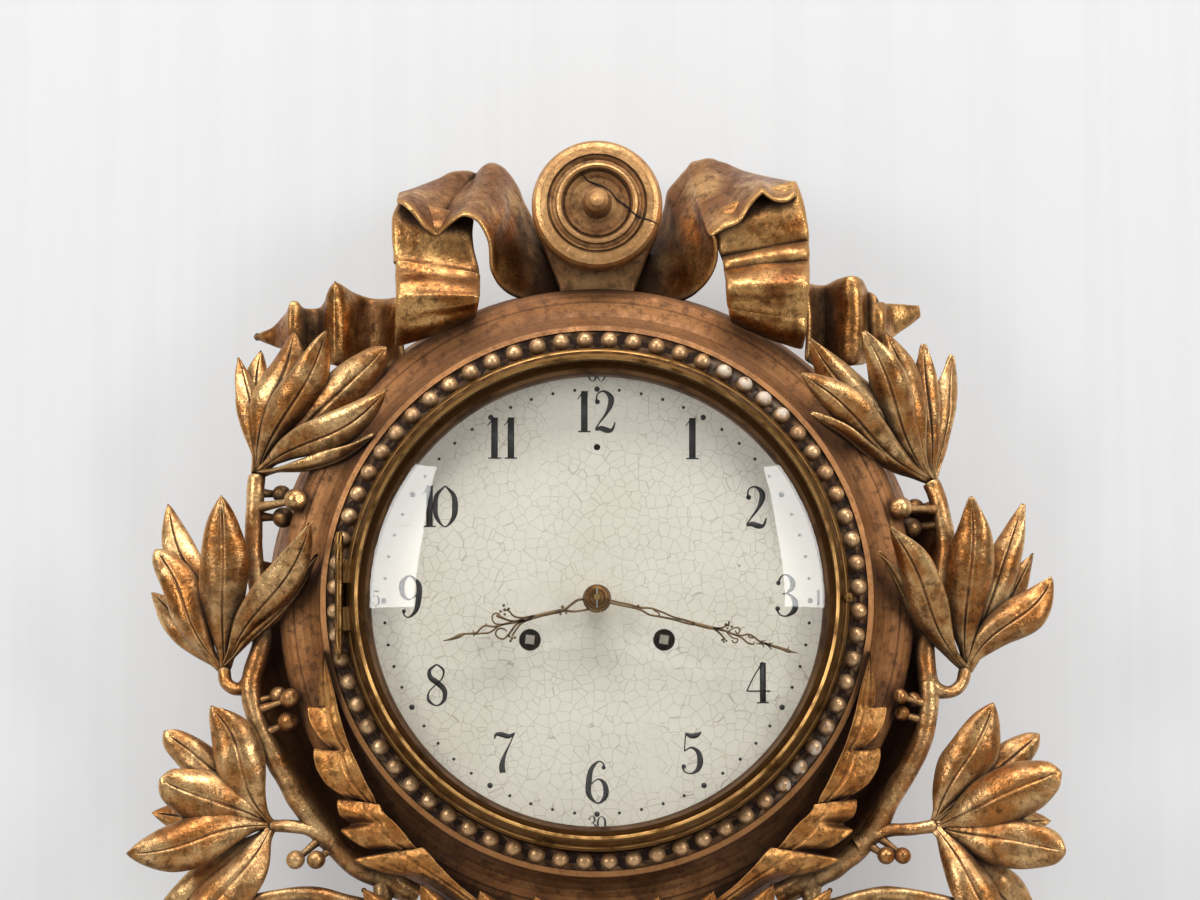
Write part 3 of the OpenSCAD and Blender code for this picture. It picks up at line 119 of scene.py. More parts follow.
def turned_lines(finish, pitch):
    """Fine rings about the dial's axis, as a noise along the radius."""
    flat = lay(finish, "Mapping", {"Vector": on_clock(finish), "Location": (0, 0, -dial_up),
                                   "Scale": (1, 0, 1)})
    reach = lay(finish, "VectorMath", {0: flat.outputs[0]}, operation="LENGTH").outputs["Value"]
    return lay(finish, "TexNoise", {"W": reach, "Scale": 1 / pitch, "Detail": 3.0},
               noise_dimensions="1D").outputs["Fac"]


def relief(finish, shader, *layers):
    """Bumps on a surface; each layer is a height, its depth in metres and its strength."""
    under = None
    for height, depth, strength in layers:
        bump = lay(finish, "Bump", {"Height": height, "Distance": depth, "Strength": strength})
        if under:
            join(finish, under, bump.inputs["Normal"])
        under = bump.outputs[0]
    join(finish, under, shader.inputs["Normal"])


def coat(names, finish):
    """Puts a finish on CAD nodes that keep their own shape."""
    for name in names:
        slots = nodes[name].data.materials
        slots.clear()
        slots.append(finish)


dial_low, dial_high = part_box("dial_plate")
dial_up = (dial_low.z + dial_high.z) / 2
pine, shader = new_finish("old_pine")
rings = grain(pine, 0.011, 3, 0.5, (7, 1, 0.28))
streaks = grain(pine, 0.0015, 3, 0.6, (6, 2, 0.2))
soil = grain(pine, 0.05)
board = blend(pine, between(pine, rings, 0.4, 0.62), tone(176, 132, 88), tone(134, 92, 56))
board = blend(pine, between(pine, streaks, 0.5, 0.72, 0, 0.5), board, tone(98, 64, 38))
board = blend(pine, between(pine, soil, 0.5, 0.7, 0, 0.55), board, tone(82, 58, 40))
dress(pine, shader, board, 0.72)
relief(pine, shader, (rings, 0.0006, 0.4), (streaks, 0.0003, 0.5))
coat(["back_board"], pine)


def worn_metal(name, colour, dull, rough, brushed=(1, 1, 1), spot=0.012, metal=1.0, turned=0.0):
    """Bare metal, darker in patches, with a brushed, cast or turned skin."""
    finish, shader = new_finish(name)
    film = grain(finish, spot, 5)
    share = between(finish, film, 0.42, 0.68)
    if turned:
        lines = turned_lines(finish, turned)
        share = times(finish, share, between(finish, lines, 0.56, 0.46, 0, 0.85), "MAXIMUM")
    else:
        lines = grain(finish, 0.0009, 2, 0.5, brushed)
    join(finish, blend(finish, share, colour, dull), shader.inputs["Base Color"])
    shader.inputs["Metallic"].default_value = metal
    join(finish, between(finish, film, 0.3, 0.7, rough, rough + 0.2), shader.inputs["Roughness"])
    relief(finish, shader, (lines, 0.0003 if turned else 0.0001, 0.35), (film, 0.0002, 0.3))
    return finish


iron = worn_metal("black_iron", tone(72, 66, 62), tone(92, 62, 44), 0.55, metal=0.8)
steel = worn_metal("old_steel", tone(150, 146, 140), tone(104, 92, 80), 0.32)
coat(["hanger_plate", "case_screws"], iron)

# ---- Turned drum --------------------------------------------------------------------------------
# The drum is turned from glued pine with its front moulding in one piece. It is painted with bronze
# over a red ground, so that it is duller than the carving, and is dark where dust has settled.
# Painted shade darkens its hollows and its underside.


def gilding(name, pale, gold, umber, bole, rough=0.3, metal=0.9, wear=0.5, flecks=0.6, dust=0.5,
            grime_and_shade_share=0.93, turned=0.0, gesso=()):
    """Leaf over red bole, rubbed through in patches, with a painted highlight on its crests, grime
    and painted shade in its hollows, and painted shade underneath.
    """
    finish, shader = new_finish(name)
    cloud = grain(finish, 0.014, 6, 0.62)
    mottle = grain(finish, 0.0032, 5, 0.66, middle=(1, 4, 2))
    patch = grain(finish, 0.03, 7, 0.68, (1, 1, 0.6), (3, 1, 2))
    speck = grain(finish, 0.0008, 3, 0.7)
    crowd = grain(finish, 0.009, 4, 0.6, middle=(7, 2, 5))
    crest = lay(finish, "NewGeometry").outputs["Pointiness"]
    hollow = lay(finish, "AmbientOcclusion", {"Distance": 0.018}, samples=6).outputs["AO"]
    colour = blend(finish, between(finish, cloud, 0.4, 0.68), gold, pale)
    rubbed = between(finish, patch, 0.64 - 0.16 * wear, 0.74 - 0.1 * wear)
    colour = blend(finish, times(finish, rubbed, 0.75), colour, bole)
    colour = blend(finish, between(finish, mottle, 0.47, 0.66, 0, 0.62), colour, umber)
    # Convex crests found by pointiness are painted pale: a painted highlight.
    colour = blend(finish, times(finish, between(finish, crest, 0.505, 0.57), 0.8), colour, pale)
    way = lay(finish, "SeparateXYZ", {0: lay(finish, "TexCoord").outputs["Normal"]}).outputs["Z"]
    film = times(finish, between(finish, way, -0.1, 0.7),
                 between(finish, patch, 0.38, 0.52, 0.3, 1))
    film = times(finish, film, dust)
    colour = blend(finish, film, colour, tone(128, 88, 58))
    # Surfaces that face down go toward umber: painted shade under things.
    colour = blend(finish, between(finish, way, -0.15, -0.9, 0, 0.6), colour, umber)
    if turned:
        lines = turned_lines(finish, turned)
        colour = blend(finish, between(finish, lines, 0.5, 0.66, 0, 0.28), colour, umber)
    # Hollows found by ambient occlusion and creases of low pointiness go toward umber: grime, and
    # painted shade where less light falls.
    grime_and_shade = times(finish, between(finish, hollow, 0.96, 0.42), grime_and_shade_share)
    grime_and_shade = times(finish, grime_and_shade, between(finish, crest, 0.495, 0.43), "MAXIMUM")
    colour = blend(finish, grime_and_shade, colour, umber)
    fleck = times(finish, between(finish, speck, 0.56, 0.64), between(finish, crowd, 0.4, 0.6))
    fleck = times(finish, fleck, flecks)
    colour = blend(finish, fleck, colour, umber)
    for x, up, reach in gesso:
        near = lay(finish, "VectorMath", {0: on_clock(finish), 1: spot((x, up, 100))},
                   operation="DISTANCE")
        share = between(finish, near.outputs["Value"], reach / 1000, reach / 1400)
        share = times(finish, share, between(finish, mottle, 0.4, 0.5))
        share = times(finish, share, between(finish, hollow, 0.5, 0.8))
        colour = blend(finish, share, colour, tone(214, 196, 176))
        metal = times(finish, metal, times(finish, 1.0, share, "SUBTRACT"))
    join(finish, colour, shader.inputs["Base Color"])
    dull = times(finish, times(finish, grime_and_shade, fleck, "MAXIMUM"), times(finish, film, 0.6), "MAXIMUM")
    join(finish, times(finish, metal, between(finish, dull, 0, 1, 1, 0.3)),
         shader.inputs["Metallic"])
    tarnish = times(finish, times(finish, mottle, speck, "ADD"), dull, "ADD")
    join(finish, between(finish, tarnish, 0.72, 1.7, rough - 0.06, rough + 0.4),
         shader.inputs["Roughness"])
    if turned:
        relief(finish, shader, (lines, 0.0003, 0.4), (mottle, 0.0003, 0.4), (speck, 0.0001, 0.4))
    else:
        relief(finish, shader, (cloud, 0.0018, 0.6), (mottle, 0.0009, 0.55), (speck, 0.0002, 0.45))
    return finish


def spot(place):
    """Point on the clock from [across, up, out]."""
    return Vector((place[0] / 1000, -place[2] / 1000, place[1] / 1000 + dial_up))


bronze = gilding("turned_bronze", tone(184, 128, 76), tone(158, 104, 58), tone(52, 29, 14),
                 tone(112, 66, 36), 0.42, 0.5, 0.4, 0.3, 0.75, turned=0.003)
coat(["drum_case"], bronze)

# ---- Ring of beads ------------------------------------------------------------------------------
# Sixty-eight beads are turned in the solid of a ring round the glass and gilded. At the upper right
# and the lower right the leaf has worn away to the white ground.
beaded = gilding("beaded_gilding", tone(250, 208, 156), tone(200, 146, 96), tone(50, 30, 18),
                 tone(124, 78, 48), 0.27, 0.8, 0.3, 0.5, 0.2, 0.5,
                 gesso=[(67, 107, 18), (84, 94, 12), (100, -76, 22), (92, -88, 14)])
coat(["pearl_moulding"], beaded)

# ---- Turned crest knob --------------------------------------------------------------------------
# A boss turned with rings and a button stands on a neck above the drum. A drying crack runs from
# its edge to the middle.
crest_gold = gilding("crest_gilding", tone(230, 178, 118), tone(192, 138, 86), tone(56, 34, 19),
                     tone(132, 82, 46), 0.34, 0.75, 0.4, 0.5, 0.3, 0.75)
coat(["crest_knob"], crest_gold)
# The knob's face is [distance from its middle, out from the wall]. The crack runs across it.
knob_face = [
    (9, 94.3), (13, 95), (15.6, 96.8), (16.4, 96), (16.8, 97.2), (17.6, 99.2), (18.7, 100),
    (19.8, 99.4), (20.4, 97.6), (21.6, 97), (23.2, 98.2), (23.6, 97), (24.6, 98.2), (28, 97.8),
    (30, 97), (31.4, 95), (32, 92)]
crack_line = [
    (-7.6, 14.4), (-4.4, 11.6), (-.7, 10), (3.2, 8.6), (6.6, 6.2), (9.3, 2.8), (12.7, 0),
    (15.4, -2.2), (17.4, -5), (19.9, -6.7), (23.8, -7.8), (27.7, -9.2), (30, -10.6)]


def through(points, share):
    """Point at a share of the way along a smooth line through the points."""
    last = len(points) - 1
    i = min(int(share * last), last - 1)
    f = share * last - i
    a, b, c, d = (points[max(0, min(last, k))] for k in (i - 1, i, i + 1, i + 2))
    return (b + (c - a) * (f / 2) + (a * 2 - b * 5 + c * 4 - d) * (f * f / 2)
            + (b * 3 - a - c * 3 + d) * (f ** 3 / 2))


def carve_sheet(work, along, across, place):
    """Grid whose points go to place(share along, share across)."""
    points = bmesh.ops.create_grid(work, x_segments=along, y_segments=across, size=0.5)["verts"]
    for point in points:
        point.co = place(point.co.x + 0.5, point.co.y + 0.5)
    return points


def finished(name, work, finish):
    """Object of a worked mesh in its finish."""
    mesh = bpy.data.meshes.new(name)
    work.to_mesh(mesh)
    work.free()
    mesh.materials.append(finish)
    piece = bpy.data.objects.new(name, mesh)
    bpy.context.scene.collection.objects.link(piece)
    return piece


def put(name, work, body, finish, thick=0.0, rounds=1, instead_of=()):
    """Makes the worked mesh a piece of the clock."""
    piece = finished(name, work, finish)
    piece.data.shade_smooth()
    if thick:
        wood = piece.modifiers.new("thickness", "SOLIDIFY")
        wood.thickness = thick
        wood.offset = -1
    if rounds:
        soft = piece.modifiers.new("rounding", "SUBSURF")
        soft.levels = soft.render_levels = rounds
    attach(piece, body)
    for node in instead_of:
        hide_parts(node)


def thread(work, path, radii, sides=10, rough=0.0, seed=0):
    """Round carved rod along a path: a ring that is extruded from point to point."""
    ring = bmesh.ops.create_circle(work, cap_ends=True, segments=sides, radius=1.0)["verts"]
    face = ring[0].link_faces[0]
    turn = None
    for i, here in enumerate(path):
        ahead = (path[min(i + 1, len(path) - 1)] - path[max(i - 1, 0)]).normalized()
        turn = ahead.to_track_quat("Z", "Y") if turn is None else (
            (turn @ Vector((0, 0, 1))).rotation_difference(ahead) @ turn)
        if i:
            made = bmesh.ops.extrude_discrete_faces(work, faces=[face])["faces"]
            face = made[0]
            ring = list(face.verts)
        for k, point in enumerate(ring):
            out = turn @ Vector((cos(2 * pi * k / sides), sin(2 * pi * k / sides), 0))
            swell = 1 + rough * noise.noise((here + out * 0.004) * 160 + Vector((seed, 0, 0)))
            point.co = here + out * radii[i] * swell


# The crack is a near-black thread laid over the knob's face: painted shade inside the open crack.
crack_shade, shader = new_finish("open_crack")
dress(crack_shade, shader, tone(22, 14, 10), 0.9)
relief(crack_shade, shader, (grain(crack_shade, 0.001), 0.0003, 0.6))
crack = bmesh.new()
line = [Vector((x, up)) for x, up in crack_line]
knob_up = 194.5
crack_steps = 61
steps = []
for k in range(crack_steps):
    here = line[k // 5].lerp(line[min(k // 5 + 1, 12)], k % 5 / 5)
    here += Vector((0, 0.45)) * noise.noise(Vector((k * 0.37, 0, 0)))
    reach = here.length
    inner, outer = next(((a, b) for a, b in zip(knob_face, knob_face[1:]) if b[0] >= reach),
                        knob_face[-2:])
    share = max(0, min(1, (reach - inner[0]) / (outer[0] - inner[0])))
    steps.append(spot((here.x, knob_up + here.y, inner[1] + (outer[1] - inner[1]) * share)))
thread(crack, steps, [0.0001 + 0.0004 * sin(pi * (k + 6) / (crack_steps + 6)) ** 0.5
                      for k in range(crack_steps)], 6, 0.6)
put("crest_crack", crack, "clock_case", crack_shade, rounds=0)

# ---- Ribbon bow ---------------------------------------------------------------------------------
# Each half of the bow is carved from a block of lime as a loop, a hanging fold and a rippled tail,
# with edges about 3 mm thick. It is gilded on bole, rubbed through in patches, and has a painted
# highlight on its crests.
carved = gilding("carved_gilding", tone(250, 204, 142), tone(178, 116, 62), tone(38, 21, 11),
                 tone(120, 68, 34), 0.27, 0.95, 0.45, 0.75, 0.35)
ribbon_gold = gilding("ribbon_gilding", tone(240, 184, 116), tone(148, 94, 48), tone(36, 20, 10),
                      tone(112, 64, 34), 0.26, 0.92, 0.5, 0.6, 0.45)
# Each part of a bow is its front edge and its back edge.
left_bow = {
    "loop": ([[-17, 158, 48], [-24, 153, 56], [-32, 151, 62], [-41, 152, 70], [-48, 156, 80],
        [-51.5, 162, 88], [-52.3, 169, 92], [-52.5, 175, 95], [-54.5, 180, 97], [-58, 185, 98],
        [-65, 188, 99], [-71, 185.5, 96], [-76, 181.5, 91], [-78.5, 179.5, 89], [-81, 180, 90],
        [-84.5, 183, 94], [-90, 190, 97], [-94.5, 194.5, 95], [-98, 196, 90]], [[-20, 186, 34],
        [-26, 189, 34], [-31, 194, 34], [-34, 200, 34], [-37, 206, 34], [-39.5, 212, 34],
        [-43, 218, 34], [-47, 222, 36], [-51, 224, 38], [-55, 223, 35], [-58.5, 220.5, 29],
        [-60, 219.5, 27], [-62.5, 221, 29], [-66, 221, 37], [-70, 219, 42], [-76, 215.5, 42],
        [-84, 211.5, 46], [-92, 207.5, 50], [-98, 205, 56]]),
    "fold": ([[-98, 201, 78], [-101, 191, 86], [-101, 179, 88], [-100, 171, 88], [-99.5, 168.5, 91],
        [-99, 165, 91.5], [-98.8, 161, 95], [-98.5, 156, 99.5], [-98.3, 150, 102.5],
        [-98.3, 146, 102.5], [-98.5, 142, 101.5], [-98.6, 136, 99], [-98.5, 130, 95],
        [-98.3, 123, 88]], [[-60, 191, 84], [-60.5, 182, 89], [-60, 173, 89], [-57, 163.5, 89],
        [-56.8, 161.5, 91.5], [-56.5, 159, 92], [-56.3, 156, 95.5], [-56.5, 152, 99.5],
        [-56.8, 149, 102], [-57, 146.5, 102], [-57, 144.5, 101], [-57.2, 142.5, 98],
        [-57.5, 140, 94], [-58, 138, 86]]),
    "tail": ([[-97, 152, 80], [-106, 153, 64], [-112, 154, 60], [-118, 156, 64], [-124, 158.5, 76],
        [-129, 159.5, 80], [-133, 157.5, 76], [-135.5, 153, 66], [-138.5, 149, 60],
        [-143, 148.5, 62], [-145, 150, 72], [-148.5, 150.5, 74], [-152, 150, 74], [-154, 147, 68],
        [-158, 142.5, 62], [-162, 139, 58], [-167, 137, 54], [-171, 135.5, 50]], [[-97, 119, 80],
        [-106, 117, 64], [-112, 117, 60], [-118, 117, 64], [-124, 117, 74], [-129, 117, 76],
        [-133, 118, 72], [-136, 119.5, 64], [-139, 121, 60], [-143, 123, 62], [-145.5, 125, 70],
        [-149, 125.5, 72], [-152.5, 126, 72], [-155, 126.5, 66], [-158, 127.5, 60],
        [-162, 129.5, 56], [-167, 132, 52], [-171, 134.5, 50]]),
}
right_bow = {
    "loop": ([[17, 159, 48], [25, 153, 56], [36, 150.5, 64], [45.5, 153, 74], [53, 159.5, 84],
        [56, 167.5, 90], [55, 175, 94], [53, 178.5, 96], [56, 181, 97.5], [61.5, 184, 98.5],
        [67.5, 186.5, 98], [71, 192.5, 97], [75, 198.5, 97], [79.5, 202.5, 97.5], [83, 202.5, 97.5],
        [88, 199, 96.5], [92, 198.5, 96], [95.5, 202.5, 93]], [[22, 186, 34], [26, 190, 34],
        [29.5, 197, 34], [31.5, 205, 34], [33, 212, 34], [38.5, 219, 34], [43, 223.5, 34],
        [47, 227.5, 34], [53.5, 230, 34], [58, 229.5, 35], [62, 227.5, 36], [66, 225, 38],
        [71, 222.5, 40], [77, 220.5, 42], [82, 219, 45], [86.5, 217.5, 48], [92, 215.5, 52],
        [97.5, 213, 56]]),
    "fold": ([[98, 209, 78], [101, 199, 86], [103, 188, 88], [104, 181, 89], [104, 178.5, 86],
        [104, 176, 88], [104, 171, 92], [104, 167, 91], [104, 163, 95], [103.8, 158, 101],
        [103.5, 153, 103], [103.3, 149, 101], [103, 143, 98.5], [102.6, 138, 96.5],
        [102.3, 133, 97], [101.5, 128, 92], [100.5, 124, 86]], [[60, 194, 84], [57, 184, 89],
        [58, 176.5, 89], [59.5, 172, 89], [60.5, 170, 86], [61, 168, 88], [61.7, 165, 92],
        [62, 162, 91], [62.2, 159.5, 95], [62.4, 156, 101], [62.6, 152.5, 103], [62.9, 149, 101.5],
        [63.2, 146, 99], [63.8, 143.5, 97], [64.2, 142, 97], [64.6, 140.5, 92], [65, 139, 86]]),
    "tail": ([[102, 158, 80], [108, 159, 66], [113, 159.5, 62], [118, 161, 70], [122.5, 161.5, 78],
        [127, 161.5, 78], [130, 160.5, 72], [133, 156, 66], [135.5, 154, 70], [139.5, 150, 72],
        [142, 149.5, 62], [144, 150.5, 58], [152, 149.8, 54], [160, 148.4, 50]], [[102, 119, 80],
        [108, 118, 66], [113, 117, 62], [118, 117, 70], [123, 117, 76], [127, 117.5, 76],
        [130.5, 118.5, 70], [133.5, 121, 64], [136, 124, 68], [140, 127.5, 70], [142.5, 130, 60],
        [145, 133.8, 56], [152.5, 140.6, 52], [159.6, 147.6, 50]]),
}
ribbon_t = 0.003
crisp, soft = 0.6, 0.95


def pleated(points, share, ease=crisp):
    """Point at a share of the way along a line whose bends stay as crisp as ease says."""
    step = min(int(share * (len(points) - 1)), len(points) - 2)
    straight = points[step].lerp(points[step + 1], share * (len(points) - 1) - step)
    return straight.lerp(through(points, share), ease)


def ribbon_strip(work, front, back, face, ease):
    """Ribbon between its front and back edges, with a shallow hollow across it."""
    fore, rear = [spot(p) for p in front], [spot(p) for p in back]

    def place(u, v):
        a, b = pleated(fore, u, ease), pleated(rear, u, ease)
        ahead = through(fore, min(u + 0.02, 1)) - through(fore, max(u - 0.02, 0))
        out = ahead.cross(b - a).normalized() * face
        hollow = -0.0016 * sin(pi * v) + 0.0006 * noise.noise(a.lerp(b, v) * 120)
        hollow += 0.0005 * sin(46 * u) * sin(pi * v)
        return a.lerp(b, v) + out * (hollow + ribbon_t / 2)
    carve_sheet(work, 4 * (len(front) - 1), 8, place)


for side, halves in (("left", left_bow), ("right", right_bow)):
    ribbon = bmesh.new()
    for part, (front, back) in halves.items():
        hand = 1 if (side == "left") == (part == "loop") else -1
        ribbon_strip(ribbon, front, back, hand, soft if part == "fold" else crisp)
    put(f"ribbon_{side}", ribbon, "clock_case", ribbon_gold, ribbon_t, 1,
        [f"ribbon_bow_{side}"])

# ---- Laurel stems -------------------------------------------------------------------------------
# A stem rises from the foot of the drum on each side, with a bed of wood left behind it. It is
# whittled round, with knots and short stalks that carry pairs and threes of berries.
stem_r, branch_r, twig_r = (0.0061, 0.0044), (0.0054, 0.003), (0.0056, 0.0033)
stalk_r = [0.0034, 0.0026, 0.0021, 0.0019, 0.0017]
stalk_inset = 0.0035
berry_grown = 1.14
bed_r, bed_out, bed_t = 0.152, 0.05, 0.003
left_stem = [
    [-88, -142, 70], [-104, -134, 74], [-120, -125, 76], [-134, -110, 76], [-145, -96, 76],
    [-154, -80, 76], [-163, -64, 76], [-169, -41, 76], [-164, -20, 74], [-165, -2, 72],
    [-168, 23, 70], [-168, 44, 68], [-167, 65, 66]]
right_stem = [
    [88, -142, 70], [104, -134, 74], [120, -125, 76], [134, -111, 76], [143, -94, 76],
    [157, -70, 76], [162, -45, 76], [160, -20, 74], [166, -2, 72], [171, 28, 70], [168, 50, 68],
    [164, 61, 66]]
left_berries = [
    [-155, 55, 66, 3.9], [-147, 50, 87, 4.9], [-154, 43, 70, 4.5], [-155, -45, 80, 3.8],
    [-149, -47, 88, 4.3], [-150, -58, 84, 4.4], [-146, -125, 84, 4], [-136, -125, 84, 4]]
right_berries = [
    [148, 46, 87, 4.9], [156, 48, 66, 4.2], [154, 38, 70, 4.4], [147, -46, 88, 3.4],
    [154, -47, 78, 3.4], [148, -54, 84, 3.4], [140, -123, 84, 3.8], [148, -123, 84, 3.6]]
spray_feet = {
    "left_upper": [-167, 65, 66],
    "left_middle": [-182, -32, 70],
    "left_lower": [-158, -108, 74],
    "right_upper": [164, 61, 66],
    "right_middle": [180, -32, 70],
    "right_lower": [164, -108, 74],
}
twigs = {
    "left_middle": [[-168, -36, 76], [-171, -40, 75], [-176, -41.5, 74], [-181, -38, 72],
        [-182, -31, 70]],
    "left_lower": [[-128, -117, 77], [-139, -110, 77], [-149, -108.5, 76], [-159, -108, 74]],
    "right_middle": [[161, -36, 76], [165, -41.5, 75], [172, -43, 74], [178, -39, 72],
        [180, -31, 70]],
    "right_lower": [[126, -118, 77], [139, -111, 77], [151, -110, 76], [165, -108, 74]],
}


def stem_bed(work, path):
    """Wood that is left standing between a stem and the side of the drum."""
    line = [spot(p) for p in path[1:11]]

    def place(u, v):
        outer = through(line, u)
        flat = Vector((outer.x, 0, outer.z - dial_up))
        inner = flat.normalized() * bed_r
        inner = Vector((inner.x, -bed_out, inner.z + dial_up))
        point = outer.lerp(inner, v) + Vector((0, 0.006 * (1 - v) + 0.004 * sin(pi * v), 0))
        return point + Vector((0, 0.0012 * noise.noise(point * 90), 0))
    carve_sheet(work, 36, 6, place)


def tapered(ends, count, run=0):
    """Radii from one end to the other, which is reached after run steps."""
    return [ends[0] + (ends[1] - ends[0]) * min(1, k / (run or count - 1)) for k in range(count)]


def berry(work, middle, radius, way):
    """Berry, a little long, with a dimple at its far end."""
    ball = bmesh.ops.create_icosphere(work, subdivisions=3, radius=1.0)["verts"]
    turn = way.to_track_quat("Z", "Y")
    for point in ball:
        flat = max(0.0, point.co.z)
        stretch = Vector((point.co.x, point.co.y, point.co.z * 1.08 - 0.22 * flat ** 14))
        point.co = middle + turn @ stretch * radius


for side, path, berries in (("left", left_stem, left_berries),
                            ("right", right_stem, right_berries)):
    stem = bmesh.new()
    line = [spot(p) for p in path]
    count = 6 * (len(path) - 1)
    steps = bends = [through(line, k / count) for k in range(count + 1)]
    thread(stem, steps, tapered(stem_r, count + 1), 14, 0.16, len(side))
    sign = -1 if side == "left" else 1
    low = [line[1], spot((sign * 108, -148, 76)), spot((sign * 140, -141, 77)),
           spot((sign * 174, -146, 80))]
    steps = [through(low, k / 18) for k in range(19)]
    thread(stem, steps, tapered(branch_r, 19), 12, 0.2, 3)
    for place, twig in twigs.items():
        if place.startswith(side):
            turns = [spot(p) for p in twig]
            steps = [through(turns, k / 16) for k in range(17)]
            thread(stem, steps, tapered(twig_r, 17, 7), 12, 0.2, 7)
    for x, up, out, size in berries:
        middle = spot((x, up, out))
        root = min(bends, key=lambda p: (p - middle).length)
        way = (middle - root).normalized()
        berry(stem, middle, size * berry_grown / 1000, way + Vector((0, -0.6, 0)))
        back = middle + Vector((0, stalk_inset, 0))
        thread(stem, [root.lerp(back, k / 4) for k in range(5)], stalk_r, 8, 0.2)
    bed = bmesh.new()
    stem_bed(bed, path)
    if side == "right":
        bmesh.ops.reverse_faces(bed, faces=bed.faces)
    put(f"stem_bed_{side}", bed, "clock_case", bronze, bed_t, 1)
    put(f"laurel_stem_{side}_carved", stem, "clock_case", carved, 0, 1,
        [f"laurel_stem_{side}"])

# ---- Laurel leaves ------------------------------------------------------------------------------
# Six or seven leaves fan out of the end of each twig. Each one is carved hollow along its midrib,
# with its edges rolled and its point sharp, and the sprays are pegged to the stems.
# Each leaf is [tip, width, roll in degrees, curve sideways, how blunt its point is].
sprays = {
    "left_upper": [[[-178, 123, 58], 14, 22, 0, 0], [[-166, 127, 50], 17, 0, -1, 0],
        [[-148, 135, 72], 25, -12, 1, 0], [[-132, 134, 92], 22, 12, 1, 0], [[-102, 126, 84],
        24, 0, 0, 1], [[-101, 103, 108], 20, 22, 1, 0], [[-108, 84, 100], 13, 62, 1, 0]],
    "left_middle": [[[-219, 7, 48], 17, 0, 0, 0], [[-216, 28, 66], 20, -10, 1, 1], [[-211, 51, 52],
        20, 0, -1, 0], [[-183, 53, 86], 26, 0, 0, 0], [[-138, 38, 112], 20, 15, 1, 0],
        [[-137, 25, 98], 13, 58, 1, 0]],
    "left_lower": [[[-188, -50, 84], 28, 0, 1, 0], [[-212, -63, 74], 22, 12, 0, 1],
        [[-213, -86, 88], 28, 0, 0, 1], [[-217, -101, 60], 20, 0, 0, 0], [[-228, -123, 92],
        28, 0, -1, 0], [[-218, -160, 66], 24, -10, 0, 0], [[-196, -168, 84], 28, 10, 1, 1]],
    "right_upper": [[[98, 111, 106], 21, -20, 1, 0], [[103, 129, 88], 22, 0, -1, 0],
        [[104, 94, 100], 13, -62, 1, 0], [[130, 133, 94], 21, -12, 1, 0], [[141, 134, 74],
        20, 0, 1, 0], [[160, 129, 66], 16, 12, 0, 0], [[174, 125, 54], 14, 30, 0, 0]],
    "right_middle": [[[141, 36, 112], 21, -15, 1, 0], [[138, 26, 98], 13, -58, 1, 0],
        [[182, 52, 88], 25, 0, 1, 0], [[209, 50, 66], 18, 0, 0, 0], [[214, 26, 54], 15, 10, 0, 0],
        [[223, 13, 70], 22, 0, 1, 0]],
    "right_lower": [[[193, -48, 80], 26, 0, 1, 0], [[216, -63, 66], 20, 0, 0, 1], [[226, -83, 92],
        29, -8, 0, 1], [[221, -105, 62], 20, 0, 0, 0], [[228, -122, 88], 27, 0, 0, 1],
        [[214, -158, 66], 26, 10, 0, 1], [[197, -168, 84], 24, -10, 0, 0]],
}
FRONT = Vector((0, -1, 0))
leaf_t = 0.0018


def laurel_leaf(work, foot, tip, width, roll=0.0, bow=6.0, sway=0.0, ridge=0.16, blunt=0,
                seed=0.0):
    """One carved leaf: two plain halves that meet in a cut midrib, with edges that turn under."""
    length = (tip - foot).length
    ahead = (tip - foot).normalized()
    out = (FRONT - ahead * FRONT.dot(ahead)).normalized()
    out = Matrix.Rotation(radians(roll), 3, ahead) @ out
    side = out.cross(ahead)

    def place(u, v):
        across = 2 * v - 1
        reach = abs(across) ** 1.6
        fullness = sin(pi * min(1, u) ** 1.22) if u < 1 else 0.0
        half = width / 2000 * max(0.0, fullness) ** (0.94 - 0.18 * u - 0.36 * blunt * u)
        half *= 1 + 0.16 * noise.noise(Vector((u * 4, seed + (5 if across > 0 else 0), 0)))
        half = max(half, 0.0024 * (1 - u) + 0.0003)
        edge = half * (1 if across > 0 else -1) * reach
        middle = (foot + ahead * length * u + out * (bow / 1000) * sin(pi * u)
                  + out * 0.004 * u ** 5 + side * (sway / 1000) * sin(2 * pi * u))
        raised = half * ridge * (1 - reach) + half * 0.05 * sin(pi * reach)
        cut = 0.0013 * min(1, half / 0.006) if across == 0 and u < 0.93 else 0.0
        turned = half * 0.3 * reach ** 4
        wave = 0.0017 * reach ** 2 * sin(8 * u + seed + 2.4 * across)
        point = middle + side * edge + out * (raised - cut - turned + wave)
        return point + out * 0.0009 * noise.noise(point * 75 + Vector((seed, 0, 0)))
    carve_sheet(work, 20, 12, place)


for place, leaves in sprays.items():
    chance = random.Random(place)
    spray = bmesh.new()
    foot = spot(spray_feet[place])
    for tip, width, roll, curve, blunt in leaves:
        apart = Vector((chance.uniform(-1, 1), chance.uniform(-1.5, 1.5), chance.uniform(-1, 1)))
        laurel_leaf(spray, foot + apart / 1000, spot(tip), width, roll, 5 + chance.uniform(0, 4),
                    curve * 2.2 + chance.uniform(-0.8, 0.8), 0.16 + chance.uniform(0, 0.1), blunt,
                    chance.uniform(0, 6))
    put(f"laurel_leaves_{place}", spray, "clock_case", carved, leaf_t, 1,
        [f"laurel_spray_{place}"])

# ---- Acanthus at the sides of the drum ----------------------------------------------------------
# A long acanthus leaf hugs each side of the drum from below. Its ribs flow along it, and its lobes
# turn outwards one over the other. The gilding is redder than on the laurel.
acanthus_gold = gilding("acanthus_gilding", tone(224, 164, 96), tone(178, 114, 58),
                        tone(46, 25, 13), tone(130, 72, 36), 0.32, 0.88, 0.4, 0.7, 0.3)
